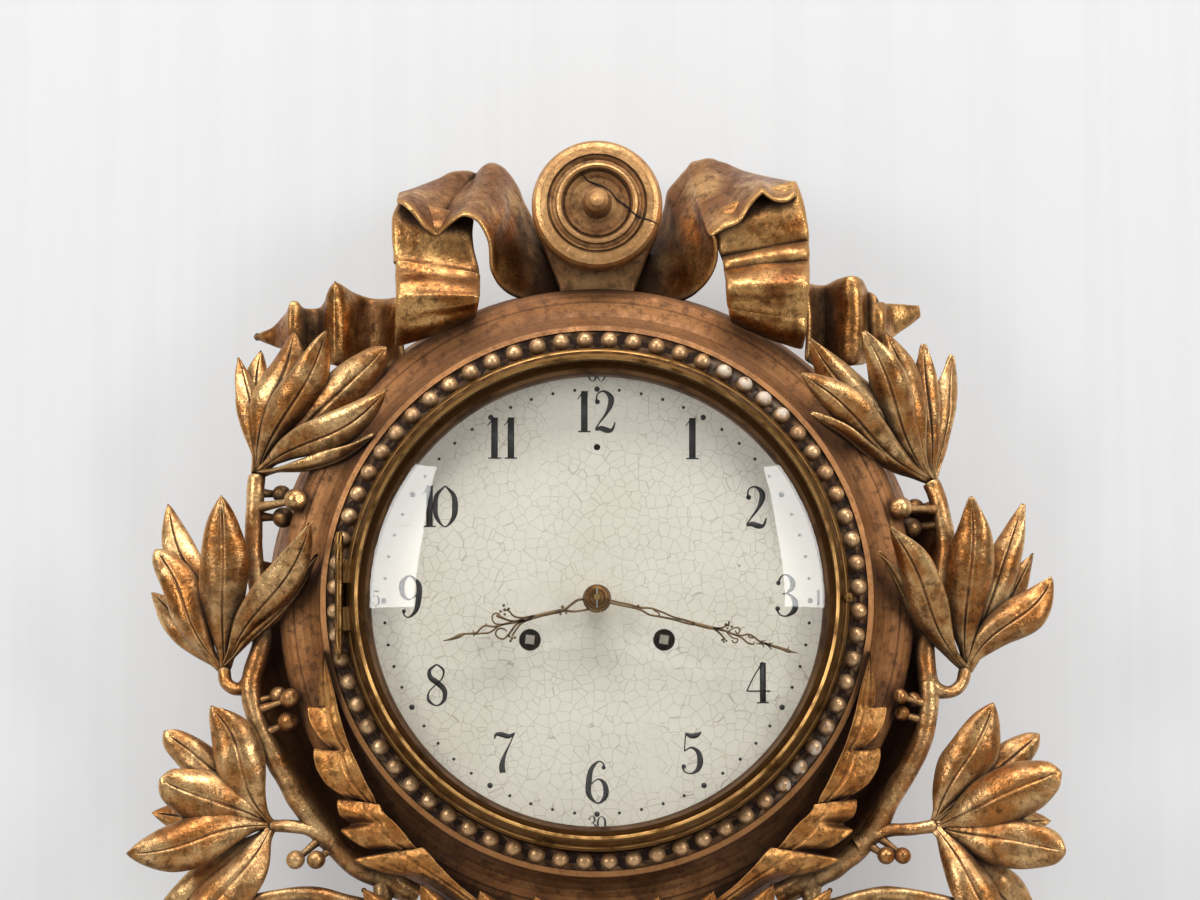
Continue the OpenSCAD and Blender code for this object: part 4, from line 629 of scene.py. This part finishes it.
# Its outer edge runs over the points of its lobes and into the eyes between them. Its inner edge
# follows the hollow of the drum.
acanthus_outer = [
    [58, -153, 88], [85, -135, 92], [101, -132, 92], [111, -129, 92], [117.5, -125, 91],
    [105, -121.5, 90], [113, -119.5, 94], [120, -115, 94], [124, -111, 92], [119, -108, 91],
    [124, -104.5, 96], [125.5, -100, 97], [125, -96, 95], [115.5, -97.5, 94], [124, -94, 98],
    [131, -89, 98], [135.5, -82, 98], [137, -76, 98], [136.5, -71.5, 96], [127.5, -73, 96],
    [134, -67, 101], [138.5, -60, 101], [140, -52, 98], [134.5, -52.5, 98], [134.4, -44, 103],
    [133.4, -35, 104], [132.2, -28, 104.5], [132, -25, 105]]
acanthus_inner = [
    [50, -150, 95], [66, -138, 97], [76, -128, 99], [80, -123, 100], [83.5, -119.5, 98],
    [86, -120.5, 97], [89, -117.5, 100], [92, -113.5, 101], [95, -110, 101], [98, -107, 101],
    [101, -104.5, 101], [103.5, -101.5, 100], [104.5, -99, 99], [106, -99.5, 98], [107.4, -95, 100],
    [110, -90.5, 101], [112.5, -85.5, 101.5], [115, -80, 102], [117, -76, 102], [118.8, -72.5, 102],
    [120.4, -68, 102.5], [122.5, -61.5, 103], [124.6, -54, 103], [125.4, -50.5, 103],
    [127, -43.5, 103.5], [129.2, -35.5, 104], [131, -29, 104.5], [131.7, -25.5, 105]]
acanthus_t, acanthus_trough = 0.006, 0.005


def acanthus_sheet(work, outer, inner, trough):
    """Leaf between its two edges, with a cut midrib and a trough that deepens toward its point."""
    rim, root = [spot(p) for p in outer], [spot(p) for p in inner]

    def place(u, v):
        a, b = pleated(root, u), pleated(rim, u)
        point = a.lerp(b, v)
        point.y = a.y + (b.y - a.y) * v ** 1.7
        width = (b - a).length
        depth = min(trough, 0.22 * width) * max(0, 2 * u - 1) * sin(pi * v)
        depth -= min(0.0022, 0.14 * width) * (1 - 0.6 * u) * sin(pi * v)
        vein = 0.0012 * max(0, 1 - abs(v - 0.34) * 12) * min(1, 4 * (1 - u))
        vein += 0.0007 * max(0, 1 - abs(v - 0.7) * 10) * max(0, sin(5 * pi * u))
        lip = 0.0012 * max(0, 1 - 9 * v) + 0.0009 * max(0, 1 - 9 * (1 - v))
        flow = 0.0006 * noise.noise(point * 110)
        return point + FRONT * (lip + flow - depth - vein)
    carve_sheet(work, 4 * (len(outer) - 1), 24, place)
    grown = bmesh.ops.extrude_face_region(work, geom=list(work.faces))["geom"]
    behind = [part for part in grown if isinstance(part, bmesh.types.BMVert)]
    bmesh.ops.translate(work, vec=(0, acanthus_t, 0), verts=behind)
    bmesh.ops.recalc_face_normals(work, faces=work.faces)


def ribbed_blade(work, spine, halves, out, ribs=5, depth=0.0016, cup=0.25):
    """Broad leaf along a spine, with ribs that run its whole length."""
    line = [spot(p) for p in spine]
    widths = [Vector((w / 1000, 0, 0)) for w in halves]
    out = Vector(out).normalized()

    def place(u, v):
        across = 2 * v - 1
        ahead = (through(line, min(u + 0.02, 1)) - through(line, max(u - 0.02, 0))).normalized()
        side = out.cross(ahead).normalized()
        face = ahead.cross(side)
        half = max(through(widths, u).x, 0.0006)
        wave = depth * cos(pi * ribs * across) * min(1, half / 0.008)
        return through(line, u) + side * half * across + face * (wave - cup * half * across ** 2)
    carve_sheet(work, 36, 24, place)


for side in (-1, 1):
    leafwork = bmesh.new()
    outer, inner = ([[side * x, up, out] for x, up, out in edge]
                    for edge in (acanthus_outer, acanthus_inner))
    acanthus_sheet(leafwork, outer, inner, acanthus_trough)
    name = "left" if side == -1 else "right"
    put(f"acanthus_{name}", leafwork, "clock_case", acanthus_gold, 0, 1,
        ["side_acanthus"])

# ---- Pendulum case, its leaves and the pendant bud ----------------------------------------------
# The case under the drum is joined from pine boards with a raised panel. Acanthus leaves wrap it
# from the drum down to a turned bud at its foot.
coat(["pendulum_case", "pendant_bud"], crest_gold)
culot_fan = [
    [[14, -206, 62], [30, -141, 98], 24], [[24, -214, 60], [57, -139, 98], 26], [[34, -222, 58],
    [86, -136, 96], 26], [[44, -226, 52], [114, -138, 92], 26], [[50, -226, 46], [137, -146, 88],
    24]]
# The blades at the sides and down the middle are [spine, half widths, way out, ribs, depth].
side_blades = [
    ([[60, -206, 50], [70, -180, 44], [76, -160, 40], [84, -150, 36]],
     [8, 12, 9, 1], (1, -0.6, 0), 3, 0.0012),
    ([[46, -214, 58], [50, -250, 58], [44, -285, 54], [34, -315, 50], [30, -338, 56]],
     [8, 15, 14, 10, 1], (0.8, -1, 0), 5, 0.0014)]
middle_blade = ([[0, -200, 68], [0, -240, 70], [0, -280, 68], [0, -315, 62], [0, -340, 68]],
                [9, 20, 20, 14, 1], (0, -1, 0), 7, 0.0014)
culot = bmesh.new()
for side in (-1, 1):
    for base, tip, width in culot_fan:
        a, b = (spot((side * p[0], p[1], p[2])) for p in (base, tip))
        laurel_leaf(culot, a, b, width, 0, 8, 0, 0.2)
    for spine, halves, out, ribs, depth in side_blades:
        ribbed_blade(culot, [[side * x, up, rise] for x, up, rise in spine], halves,
                     (side * out[0], out[1], 0), ribs, depth)
ribbed_blade(culot, *middle_blade)
laurel_leaf(culot, spot((0, -214, 66)), spot((0, -143, 100)), 26, 0, 6, 0, 0.2)
culot_t = 0.003
put("culot_leaves", culot, "clock_case", acanthus_gold, culot_t, 1,
    ["culot_acanthus"])

# ---- Dial ---------------------------------------------------------------------------------------
# The dial is a disc of iron painted cream and varnished. The paint has crazed all over, and is
# flecked with small grey-brown specks.
enamel, shader = new_finish("painted_dial")
where = on_clock(enamel)
bent = lay(enamel, "TexNoise", {"Vector": where, "Scale": 60.0, "Detail": 3.0}).outputs["Color"]
warp = lay(enamel, "VectorMath", {0: bent, "Scale": 0.003}, operation="SCALE").outputs[0]
moved = lay(enamel, "VectorMath", {0: where, 1: warp}, operation="ADD").outputs[0]
cells = lay(enamel, "TexVoronoi", {"Vector": moved, "Scale": 190.0}, feature="DISTANCE_TO_EDGE")
fine = lay(enamel, "TexVoronoi", {"Vector": moved, "Scale": 380.0}, feature="DISTANCE_TO_EDGE")
show = between(enamel, grain(enamel, 0.03), 0.34, 0.5, 0.25, 1)
craze = times(enamel, between(enamel, cells.outputs["Distance"], 0.034, 0.008), show)
craze_fine = times(enamel, between(enamel, fine.outputs["Distance"], 0.03, 0.006), 0.35)
some = between(enamel, grain(enamel, 0.02, middle=(5, 5, 5)), 0.5, 0.62)
craze_fine = times(enamel, craze_fine, some)
cloud = grain(enamel, 0.05, 5)
cream = blend(enamel, between(enamel, cloud, 0.35, 0.65), tone(227, 221, 208), tone(217, 210, 195))
cream = blend(enamel, between(enamel, grain(enamel, 0.0012, 2), 0.68, 0.74, 0, 0.35), cream,
              tone(150, 138, 118))
both = times(enamel, craze, craze_fine, "MAXIMUM")
cream = blend(enamel, times(enamel, both, 0.46), cream, tone(134, 114, 88))
dress(enamel, shader, cream, 0.42)
relief(enamel, shader, (both, 0.0001, 0.5), (cloud, 0.0004, 0.2))
coat(["dial_plate"], enamel)

# ---- Numerals and minute dots -------------------------------------------------------------------
# The numerals are painted in black with a broad brush: thick stems, hair-thin joins and round ends.
# Sixty dots mark the minutes, with a larger one at each hour.
ink, shader = new_finish("black_paint")
patchy = grain(ink, 0.004, 4)
black = blend(ink, between(ink, patchy, 0.5, 0.75), tone(28, 25, 24), tone(64, 58, 52))
dress(ink, shader, black, 0.5)
relief(ink, shader, (patchy, 0.0001, 0.3))
# Each digit stands in a box 100 units high. It is its strokes, as lists of [across, up, half
# width], its round ends, as [across, up, radius], and its width.
digits = {
    "0": ([[[30, 100, 1.2], [10, 78, 4], [6, 50, 5], [10, 22, 4], [30, 0, 1.2], [50, 22, 4.5],
        [54, 50, 6], [50, 78, 4.5], [30, 100, 1.2]]], [], 60),
    "1": ([[[20, 99, 6.5], [20, 2, 6.5]], [[3, 80, .8], [11, 90, 1.2], [18, 100, 2]], [[5, 1, 1.4],
        [35, 1, 1.4]], [[13, 99, 1.2], [29, 99, 1.2]]], [], 40),
    "2": ([[[10, 72, 2], [12, 93, 1.4], [28, 100, 2], [44, 86, 5.5], [44, 68, 5.5], [34, 46, 3],
        [18, 24, 1.6], [7, 8, 1.2]], [[7, 5, 2], [20, 9, 5], [36, 4, 5.5], [48, 6, 3],
        [55, 24, 1.2]]], [[12, 74, 5.5]], 60),
    "3": ([[[10, 82, 2], [18, 97, 1.4], [32, 99, 2], [44, 84, 5], [42, 66, 4.5], [27, 54, 1.2]],
        [[20, 54, 1.2], [36, 52, 2], [50, 36, 5.5], [48, 14, 5.5], [30, 0, 1.8], [14, 3, 1.4],
        [6, 16, 2]]], [[10, 80, 5], [8, 18, 5.5]], 58),
    "4": ([[[42, 100, 1.4], [20, 64, 1.2], [3, 29, 1.4]], [[3, 29, 1.4], [60, 29, 1.4]],
        [[42, 98, 6], [42, 2, 6]], [[28, 1, 1.4], [56, 1, 1.4]]], [], 62),
    "5": ([[[12, 97, 2], [26, 91, 5], [40, 93, 5], [50, 100, 1.2]], [[13, 96, 1.4], [11, 74, 1.2],
        [10, 54, 1.2]], [[10, 54, 1.2], [26, 63, 1.8], [43, 52, 4.5], [48, 30, 5.8], [42, 10, 4.5],
        [26, 0, 1.6], [10, 5, 1.4], [6, 16, 2]]], [[8, 17, 5]], 56),
    "6": ([[[44, 86, 2], [40, 97, 1.4], [28, 100, 1.8], [12, 82, 4.5], [6, 50, 5.8], [7, 20, 5],
        [27, 0, 1.6], [44, 12, 4.5], [48, 30, 5.5], [42, 50, 4], [28, 58, 1.4], [12, 46, 1.2]]],
        [[42, 86, 4.5]], 54),
    "7": ([[[4, 84, 1.2], [8, 95, 3], [22, 94, 5], [38, 90, 4.5], [52, 98, 1.2]], [[52, 98, 1.2],
        [40, 70, 1.4], [28, 44, 3], [22, 20, 5.5], [24, 2, 6]]], [], 56),
    "8": ([[[27, 100, 1.4], [10, 86, 3], [12, 68, 5], [30, 54, 5.5], [46, 36, 5], [44, 12, 3.5],
        [27, 0, 1.4], [8, 12, 3], [8, 32, 1.6], [24, 50, 1.2], [40, 66, 1.4], [43, 86, 2.2],
        [27, 100, 1.4]]], [], 54),
}
six_strokes, six_ends, six_w = digits["6"]
digits["9"] = ([[[six_w - a, 100 - b, half] for a, b, half in stroke] for stroke in six_strokes],
               [[six_w - a, 100 - b, radius] for a, b, radius in six_ends], six_w)
stroke_weight = 1.22
end_weight = 1.1
hours = [
    ("12", -.2, 92.4), ("1", 46.4, 79.2), ("2", 77.3, 45.6), ("3", 91.8, 2.6), ("4", 78.1, -39.7),
    ("5", 45.9, -73.8), ("6", .2, -88.1), ("7", -44.7, -73.8), ("8", -77.6, -40.9),
    ("9", -90.6, 2.1), ("10", -76.6, 46), ("11", -45.9, 79.4)]
hour_h, quarter_h, quarter_r, quarter_up = 20, 7.5, 109.5, 1.5
dots_r, hour_dot, minute_dot = 103.4, 1.35, 0.78
paint_t = 0.00006
paint_out = -dial_low.y * 1000 + 0.08


def brush_stroke(work, points, place):
    """Flat stroke through [across, up, half width], placed by place(across, up)."""
    line = [Vector(p) for p in points]
    count = 1 if len(points) < 3 else 5 * (len(points) - 1)

    def edge(u, v):
        here = through(line, u)
        ahead = through(line, min(u + 0.01, 1)) - through(line, max(u - 0.01, 0))
        ahead = ahead.to_2d().normalized()
        sideways = Vector((-ahead.y, ahead.x)) * here.z * (2 * v - 1)
        return place(here.x + sideways.x, here.y + sideways.y)
    carve_sheet(work, count, 1, edge)


def round_end(work, x, up, radius, place, sides=14):
    disc = bmesh.ops.create_circle(work, cap_ends=True, segments=sides, radius=radius)
    for point in disc["verts"]:
        point.co = place(x + point.co.x, up + point.co.y)


def write(work, text, x, up, height):
    """Numeral whose middle is at x, up. The figures of 10 stand closer together."""
    unit = height / 100
    close = 12 if text == "10" else 0
    left = x - (sum(digits[d][2] for d in text) - close) * unit / 2
    for digit in text:
        strokes, ends, width = digits[digit]

        def place(a, b, left=left):
            return spot((left + a * unit, up + (b - 50) * unit, paint_out))
        for stroke in strokes:
            brush_stroke(work, [[a, b, half * stroke_weight] for a, b, half in stroke], place)
        for a, b, radius in ends:
            round_end(work, a, b, radius * end_weight, place)
        left += (width - close) * unit


numerals = bmesh.new()
for text, x, up in hours:
    write(numerals, text, x, up, hour_h)
for text, angle in (("60", 0), ("15", 90), ("30", 180), ("45", 270)):
    angle = radians(angle)
    write(numerals, text, quarter_r * sin(angle), quarter_r * cos(angle) + quarter_up, quarter_h)
put("numerals", numerals, "clock_case", ink, paint_t, 0)
dots = bmesh.new()
for minute in range(60):
    turn = radians(minute * 6)
    size = minute_dot if minute % 5 else hour_dot

    def place(a, b):
        return spot((dots_r * sin(turn) + a * size, dots_r * cos(turn) + b * size, paint_out))
    round_end(dots, 0, 0, 1, place, 12)
put("minute_dots", dots, "clock_case", ink, paint_t, 0)

# ---- Hands --------------------------------------------------------------------------------------
# The hands are pierced from sheet brass as fine sprigs with flowers and scrolls, once gilded and
# now brown. A turned collet and a taper pin hold them on the arbor.
hand_gilt = worn_metal("hand_gilding", tone(126, 102, 72), tone(80, 62, 46), 0.42, spot=0.004,
                       metal=0.7)
hour_sprig = [
    [[5.3, -.9, .51], [8.9, -1.8, .56], [12.8, -.5, .56], [15.9, .9, .67]], [[5.3, 4, .51],
    [12.2, 3.1, .51], [16.6, 1.3, .67]], [[16, 1.2, .96], [20, 1, .96], [25.8, .6, .96],
    [31.7, .5, 1.01], [37, .7, .9], [41.1, .6, .56]], [[31.5, 0, .51], [37.2, -.6, .51],
    [40.8, -2.4, .45], [42.4, -5.2, .39], [43.9, -6.6, .39]], [[36.9, .3, .45], [42.3, -.4, .51],
    [45.5, -2.4, .51], [48.3, -4.7, .84], [48.7, -5.3, .22]], [[46.3, .1, .34], [50.3, -1.2, .39],
    [51.4, -3.8, .39], [50.3, -5.9, .39], [48.5, -6.1, .39], [47.2, -4.9, .39]], [[41.1, .6, .56],
    [46.3, 0, .51], [51, 0, .51], [55.2, -1.7, .45], [57.8, -1.1, .45], [60.2, .4, .51],
    [62.3, .5, .67]], [[49.9, .5, .34], [54.5, 2, .45], [58.4, 1.3, .39], [61.6, .9, .39]],
    [[36.5, .8, .51], [40.5, 1.5, .51], [43.8, 3.9, .51], [46.1, 5.7, .45]], [[33, .9, .45],
    [38.3, 1.8, .45], [41.4, 3.9, .45], [44.3, 6.5, .45]], [[45.9, 5.4, .34], [48.4, 6.8, .39],
    [50.8, 5.7, .39], [51.7, 3.2, .39], [49.8, 1.5, .39], [47.4, 2, .39], [46.1, 3.7, .34]],
    [[62, .4, .51], [66, -.5, .45], [68.8, -.3, .96], [72.2, .1, .62], [77, 0, .17]],
    [[55.2, -1.7, .34], [54.6, -2.6, .17]], [[61.6, 0, .34], [61.9, -1.4, .11]], [[66, -.4, .34],
    [66.6, -1.2, .11]], [[61.6, .9, .28], [62.3, 2, .11]]]
hour_flowers = [
    [17.1, -.5, .79], [16.2, 2.8, .56], [19, 2.6, .56], [44.3, -8.8, .67], [42.4, -6.6, .67],
    [46.5, -6.4, .67], [44.9, -4.5, .62], [44.4, -6.6, .79], [45.7, 8.6, .67], [43.2, 7.6, .67],
    [45.8, 6.2, .67], [44.7, 7.5, .79]]
minute_sprig = [
    [[4.4, .6, .49], [10, .6, .49], [15.5, 1, .49], [21.2, 1, .54], [26.5, 2.1, .43],
    [32.3, 1.7, .43], [38.1, .9, .43], [43.8, .9, .49], [48.4, .7, .6]], [[4.7, -.7, .49],
    [10.3, -.5, .49], [15.8, -.1, .49], [21.4, .1, .54], [26.3, -1.1, .43], [31.3, -.7, .49],
    [38.5, -.2, .49], [44.1, -.3, .49], [48.6, .1, .6]], [[31.2, -.5, .33], [30.7, .8, .33],
    [27.8, 1.6, .33]], [[47.9, .5, .76], [55.2, .6, .92], [60.2, 1, .65]], [[57.9, 1, .43],
    [61.6, 1.9, .43], [63.9, 3.9, .38]], [[65.2, 1.1, .33], [67.4, 3.5, .33], [69.4, 4.3, .38],
    [70.6, 3.1, .38], [69.9, 1.4, .33], [68.3, 2.5, .33]], [[60.2, 1, .65], [64.1, 1.1, .49],
    [68.2, .6, .49], [72, 1.1, .43], [75, 2.5, .43], [78, 1.9, .43], [81.2, .6, .49],
    [84.6, .4, .54]], [[58.6, .4, .43], [61.1, -.5, .43], [63.8, -2.2, .38]], [[64.4, .9, .33],
    [66.9, -.7, .38], [68.7, -1.2, .33], [70.5, -1.1, .38], [70.6, -2.7, .38], [69, -3.2, .33],
    [68.2, -2.3, .33]], [[68.2, .6, .38], [72.3, 0, .43], [75.6, -1.6, .38], [78.4, -1.4, .38],
    [78.7, -.2, .27]], [[74.9, 2.3, .33], [75.8, 1.3, .38], [77.8, 1.4, .27]], [[79.9, -.8, .27],
    [82.6, -.3, .33], [83.9, -1.7, .16]], [[84.6, .4, .43], [87.7, -1.6, .16]], [[81.2, .6, .33],
    [83.9, 1.9, .16]], [[84.7, .3, .38], [87.8, 1.8, .11]], [[95.1, .2, .33], [95.3, 2.5, .11]],
    [[83.5, .4, .54], [86.4, .2, .65], [92.1, .1, .71], [95.5, -.2, .87], [97.2, -.1, .49],
    [100, 0, .16]]]
minute_flowers = [
    [20.2, 1.5, .65], [64.5, 5.5, .6], [63.2, 4.2, .65], [64.5, 2.6, .54], [66.2, 3.9, .6],
    [64.5, 4.2, .71], [64.3, -2.7, .71], [65.6, -3.3, .54], [64.5, -4.1, .54], [63.5, -3.5, .54]]
for name, node, body, angle, sprig, flowers, bore, boss in (
        ("hour_hand_pierced", "hour_hand", "hour_pipe", 254.5, hour_sprig, hour_flowers, 4.35, 6.9),
        ("minute_hand_pierced", "minute_hand", "centre_arbor", 105.5, minute_sprig, minute_flowers,
         2.75, 5.7)):
    low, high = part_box(node)
    turn = radians(angle)

    def place(along, left):
        return spot((along * sin(turn) - left * cos(turn), along * cos(turn) + left * sin(turn),
                     -low.y * 1000))
    hand = bmesh.new()
    for stroke in sprig:
        brush_stroke(hand, stroke, place)
    for along, left, size in flowers:
        round_end(hand, along, left, size, place)
    middle = (bore + boss) / 2
    half = (boss - bore) / 2
    ring = [[middle * sin(k * pi / 8), middle * cos(k * pi / 8), half] for k in range(17)]
    brush_stroke(hand, ring, place)
    bmesh.ops.remove_doubles(hand, verts=hand.verts, dist=0.000002)
    put(name, hand, body, hand_gilt, high.y - low.y, 0, [node])

# ---- Bezel, glass and hinge ---------------------------------------------------------------------
# The door is a cast and turned brass ring on a five-knuckle hinge. It holds a blown, domed glass
# against a brass ring that has turned brown.
lathe_lines = 0.0016
brass = worn_metal("bezel_brass", tone(176, 134, 82), tone(84, 58, 32), 0.3, spot=0.008,
                   turned=lathe_lines)
brown_brass = worn_metal("sight_ring_brass", tone(132, 92, 54), tone(64, 40, 24), 0.42, spot=0.01,
                         turned=lathe_lines)
coat(["bezel", "bezel_hinge_leaf", "case_hinge_leaf", "pull_knob", "hinge_pin", "hand_collet"],
     brass)
coat(["glass_retaining_ring"], brown_brass)
coat(["taper_pin"], steel)
glass, shader = new_finish("clear_glass")
glass.node_tree.nodes.remove(shader)
ripple = grain(glass, 0.06, 2)
wave = lay(glass, "Bump", {"Height": ripple, "Distance": 0.001, "Strength": 0.25}).outputs[0]
clear = lay(glass, "BsdfTransparent", {"Color": (0.985, 0.99, 0.985, 1)}).outputs[0]
shine = lay(glass, "BsdfGlossy", {"Color": (1, 1, 1, 1), "Roughness": 0.02,
                                  "Normal": wave}).outputs[0]
edge = lay(glass, "Fresnel", {"IOR": 1.5, "Normal": wave}).outputs[0]
inner = lay(glass, "NewGeometry").outputs["Backfacing"]
share = times(glass, edge, times(glass, 1.0, inner, "SUBTRACT"))
mixed = lay(glass, "MixShader", {0: share, 1: clear, 2: shine}).outputs[0]
join(glass, mixed, glass.node_tree.nodes["Material Output"].inputs["Surface"])
coat(["bezel_glass"], glass)

# ---- Movement -----------------------------------------------------------------------------------
# Two brass plates carry the going and striking trains. The wheels are cut brass on steel arbors,
# the springs lie in brass barrels, and the bell is cast in bell metal.
movement_brass = worn_metal("movement_brass", tone(206, 170, 102), tone(156, 118, 64), 0.28,
                            (1, 1, 14), 0.03)
bell_metal = worn_metal("bell_metal", tone(190, 170, 128), tone(138, 116, 82), 0.22)
coat(["dial_feet", "front_plate", "back_plate", "plate_pillars", "going_barrel", "strike_barrel",
      "going_second_wheel", "centre_wheel", "third_wheel", "escape_wheel", "minute_wheel",
      "hour_wheel", "strike_second_wheel", "pin_wheel", "fly", "bell_stand", "back_cock"],
     movement_brass)
coat(["winding_clicks", "going_mainspring", "strike_mainspring", "anchor", "hammer"], steel)
bright_steel = worn_metal("winding_steel", tone(172, 164, 152), tone(128, 116, 102), 0.45,
                          metal=0.4)
coat(["going_arbor", "strike_arbor"], bright_steel)
coat(["bell"], bell_metal)

# ---- Pendulum -----------------------------------------------------------------------------------
# A steel rod hangs from the cock and carries a brass-faced lead bob, with a nut to set the rate.
bob_brass = worn_metal("polished_brass", tone(222, 184, 110), tone(176, 136, 74), 0.2, spot=0.03)
coat(["pendulum_bob", "rating_nut"], bob_brass)
coat(["pendulum_rod"], steel)

# ---- Wall, floor and light ----------------------------------------------------------------------
# A pale wall stands just behind the clock, seen from the front only. A pale floor lies below it.
# Two tall soft lights stand left and right, with their lower edges about level with the dial's
# middle, and a third hangs above the front.
wall_y, floor_z = 0.003, -1.1


def stage_sheet(name, size, middle, turn, finish):
    work = bmesh.new()
    bmesh.ops.create_grid(work, x_segments=1, y_segments=1, size=size / 2)
    bmesh.ops.transform(work, matrix=Matrix.Translation(middle) @ turn, verts=work.verts)
    finished(name, work, finish)


wall_paint, shader = new_finish("wall_paint")
streak = grain(wall_paint, 0.02, 3, 0.5, (3, 1, 0.06))
streak = between(wall_paint, streak, 0.4, 0.62)
dress(wall_paint, shader, blend(wall_paint, streak, tone(224, 224, 224), tone(221, 221, 221)), 0.9)
path = lay(wall_paint, "LightPath").outputs
seen = times(wall_paint, path["Is Camera Ray"], path["Is Glossy Ray"], "MAXIMUM")
seen = times(wall_paint, seen, path["Is Transmission Ray"], "MAXIMUM")
behind = lay(wall_paint, "NewGeometry").outputs["Backfacing"]
seen = times(wall_paint, seen, times(wall_paint, 1.0, behind, "SUBTRACT"))
nothing = lay(wall_paint, "BsdfTransparent").outputs[0]
glow = lay(wall_paint, "Emission", {"Color": tone(232, 232, 232)}).outputs[0]
paint = lay(wall_paint, "MixShader", {0: 0.4, 1: shader.outputs[0], 2: glow}).outputs[0]
mixed = lay(wall_paint, "MixShader", {0: seen, 1: nothing, 2: paint}).outputs[0]
join(wall_paint, mixed, wall_paint.node_tree.nodes["Material Output"].inputs["Surface"])
stage_sheet("wall", 6, (0, wall_y, 0), Matrix.Rotation(radians(90), 4, "X"), wall_paint)
floor_paint, shader = new_finish("floor_paint")
dress(floor_paint, shader, tone(226, 226, 226), 0.8)
stage_sheet("floor", 8, (0, 0, floor_z), Matrix.Identity(4), floor_paint)


def soft_light(name, place, aim, size, power, colour=(1, 1, 1)):
    lamp = bpy.data.lights.new(name, "AREA")
    lamp.shape = "RECTANGLE"
    lamp.size, lamp.size_y = size
    lamp.energy = power
    lamp.color = colour
    light = bpy.data.objects.new(name, lamp)
    light.location = place
    light.rotation_euler = (Vector(aim) - Vector(place)).to_track_quat("-Z", "Y").to_euler()
    bpy.context.scene.collection.objects.link(light)


middle = Vector((0, -0.1, dial_up))
soft_light("light_left", middle + Vector((-1.15, -1.22, 0.5)), middle, (0.36, 0.85), 9.8)
soft_light("light_right", middle + Vector((1.17, -1.2, 0.5)), middle, (0.34, 0.85), 8.8)
soft_light("light_top", middle + Vector((0, -0.85, 1.6)), middle, (1.2, 0.5), 23)
world = bpy.data.worlds.new("studio")
bpy.context.scene.world = world
world.use_nodes = True
way = lay(world, "SeparateXYZ", {0: lay(world, "TexCoord").outputs["Generated"]}).outputs["Z"]
height = lay(world, "MapRange", {"Value": way, "From Min": -0.6, "From Max": 0.7,
                                 "To Min": 0.03, "To Max": 0.46})
sky = world.node_tree.nodes["Background"].inputs
sky["Color"].default_value = (1, 1, 1, 1)
join(world, height.outputs[0], sky["Strength"])

camera_data = bpy.data.cameras.new("camera")
camera_data.lens = 162.5
camera_data.clip_start = 0.05
camera = bpy.data.objects.new("camera", camera_data)
camera_away, camera_under, aim_side, aim_out, aim_above = 2.712, 0.23, 0.00144, 0.112, 0.0715
camera.location = (0, -camera_away, dial_up - camera_under)
aim = Vector((aim_side, -aim_out, dial_up + aim_above))
camera.rotation_euler = (aim - camera.location).to_track_quat("-Z", "Y").to_euler()
bpy.context.scene.collection.objects.link(camera)
bpy.context.scene.camera = camera
bpy.context.scene.view_settings.view_transform = "Standard"
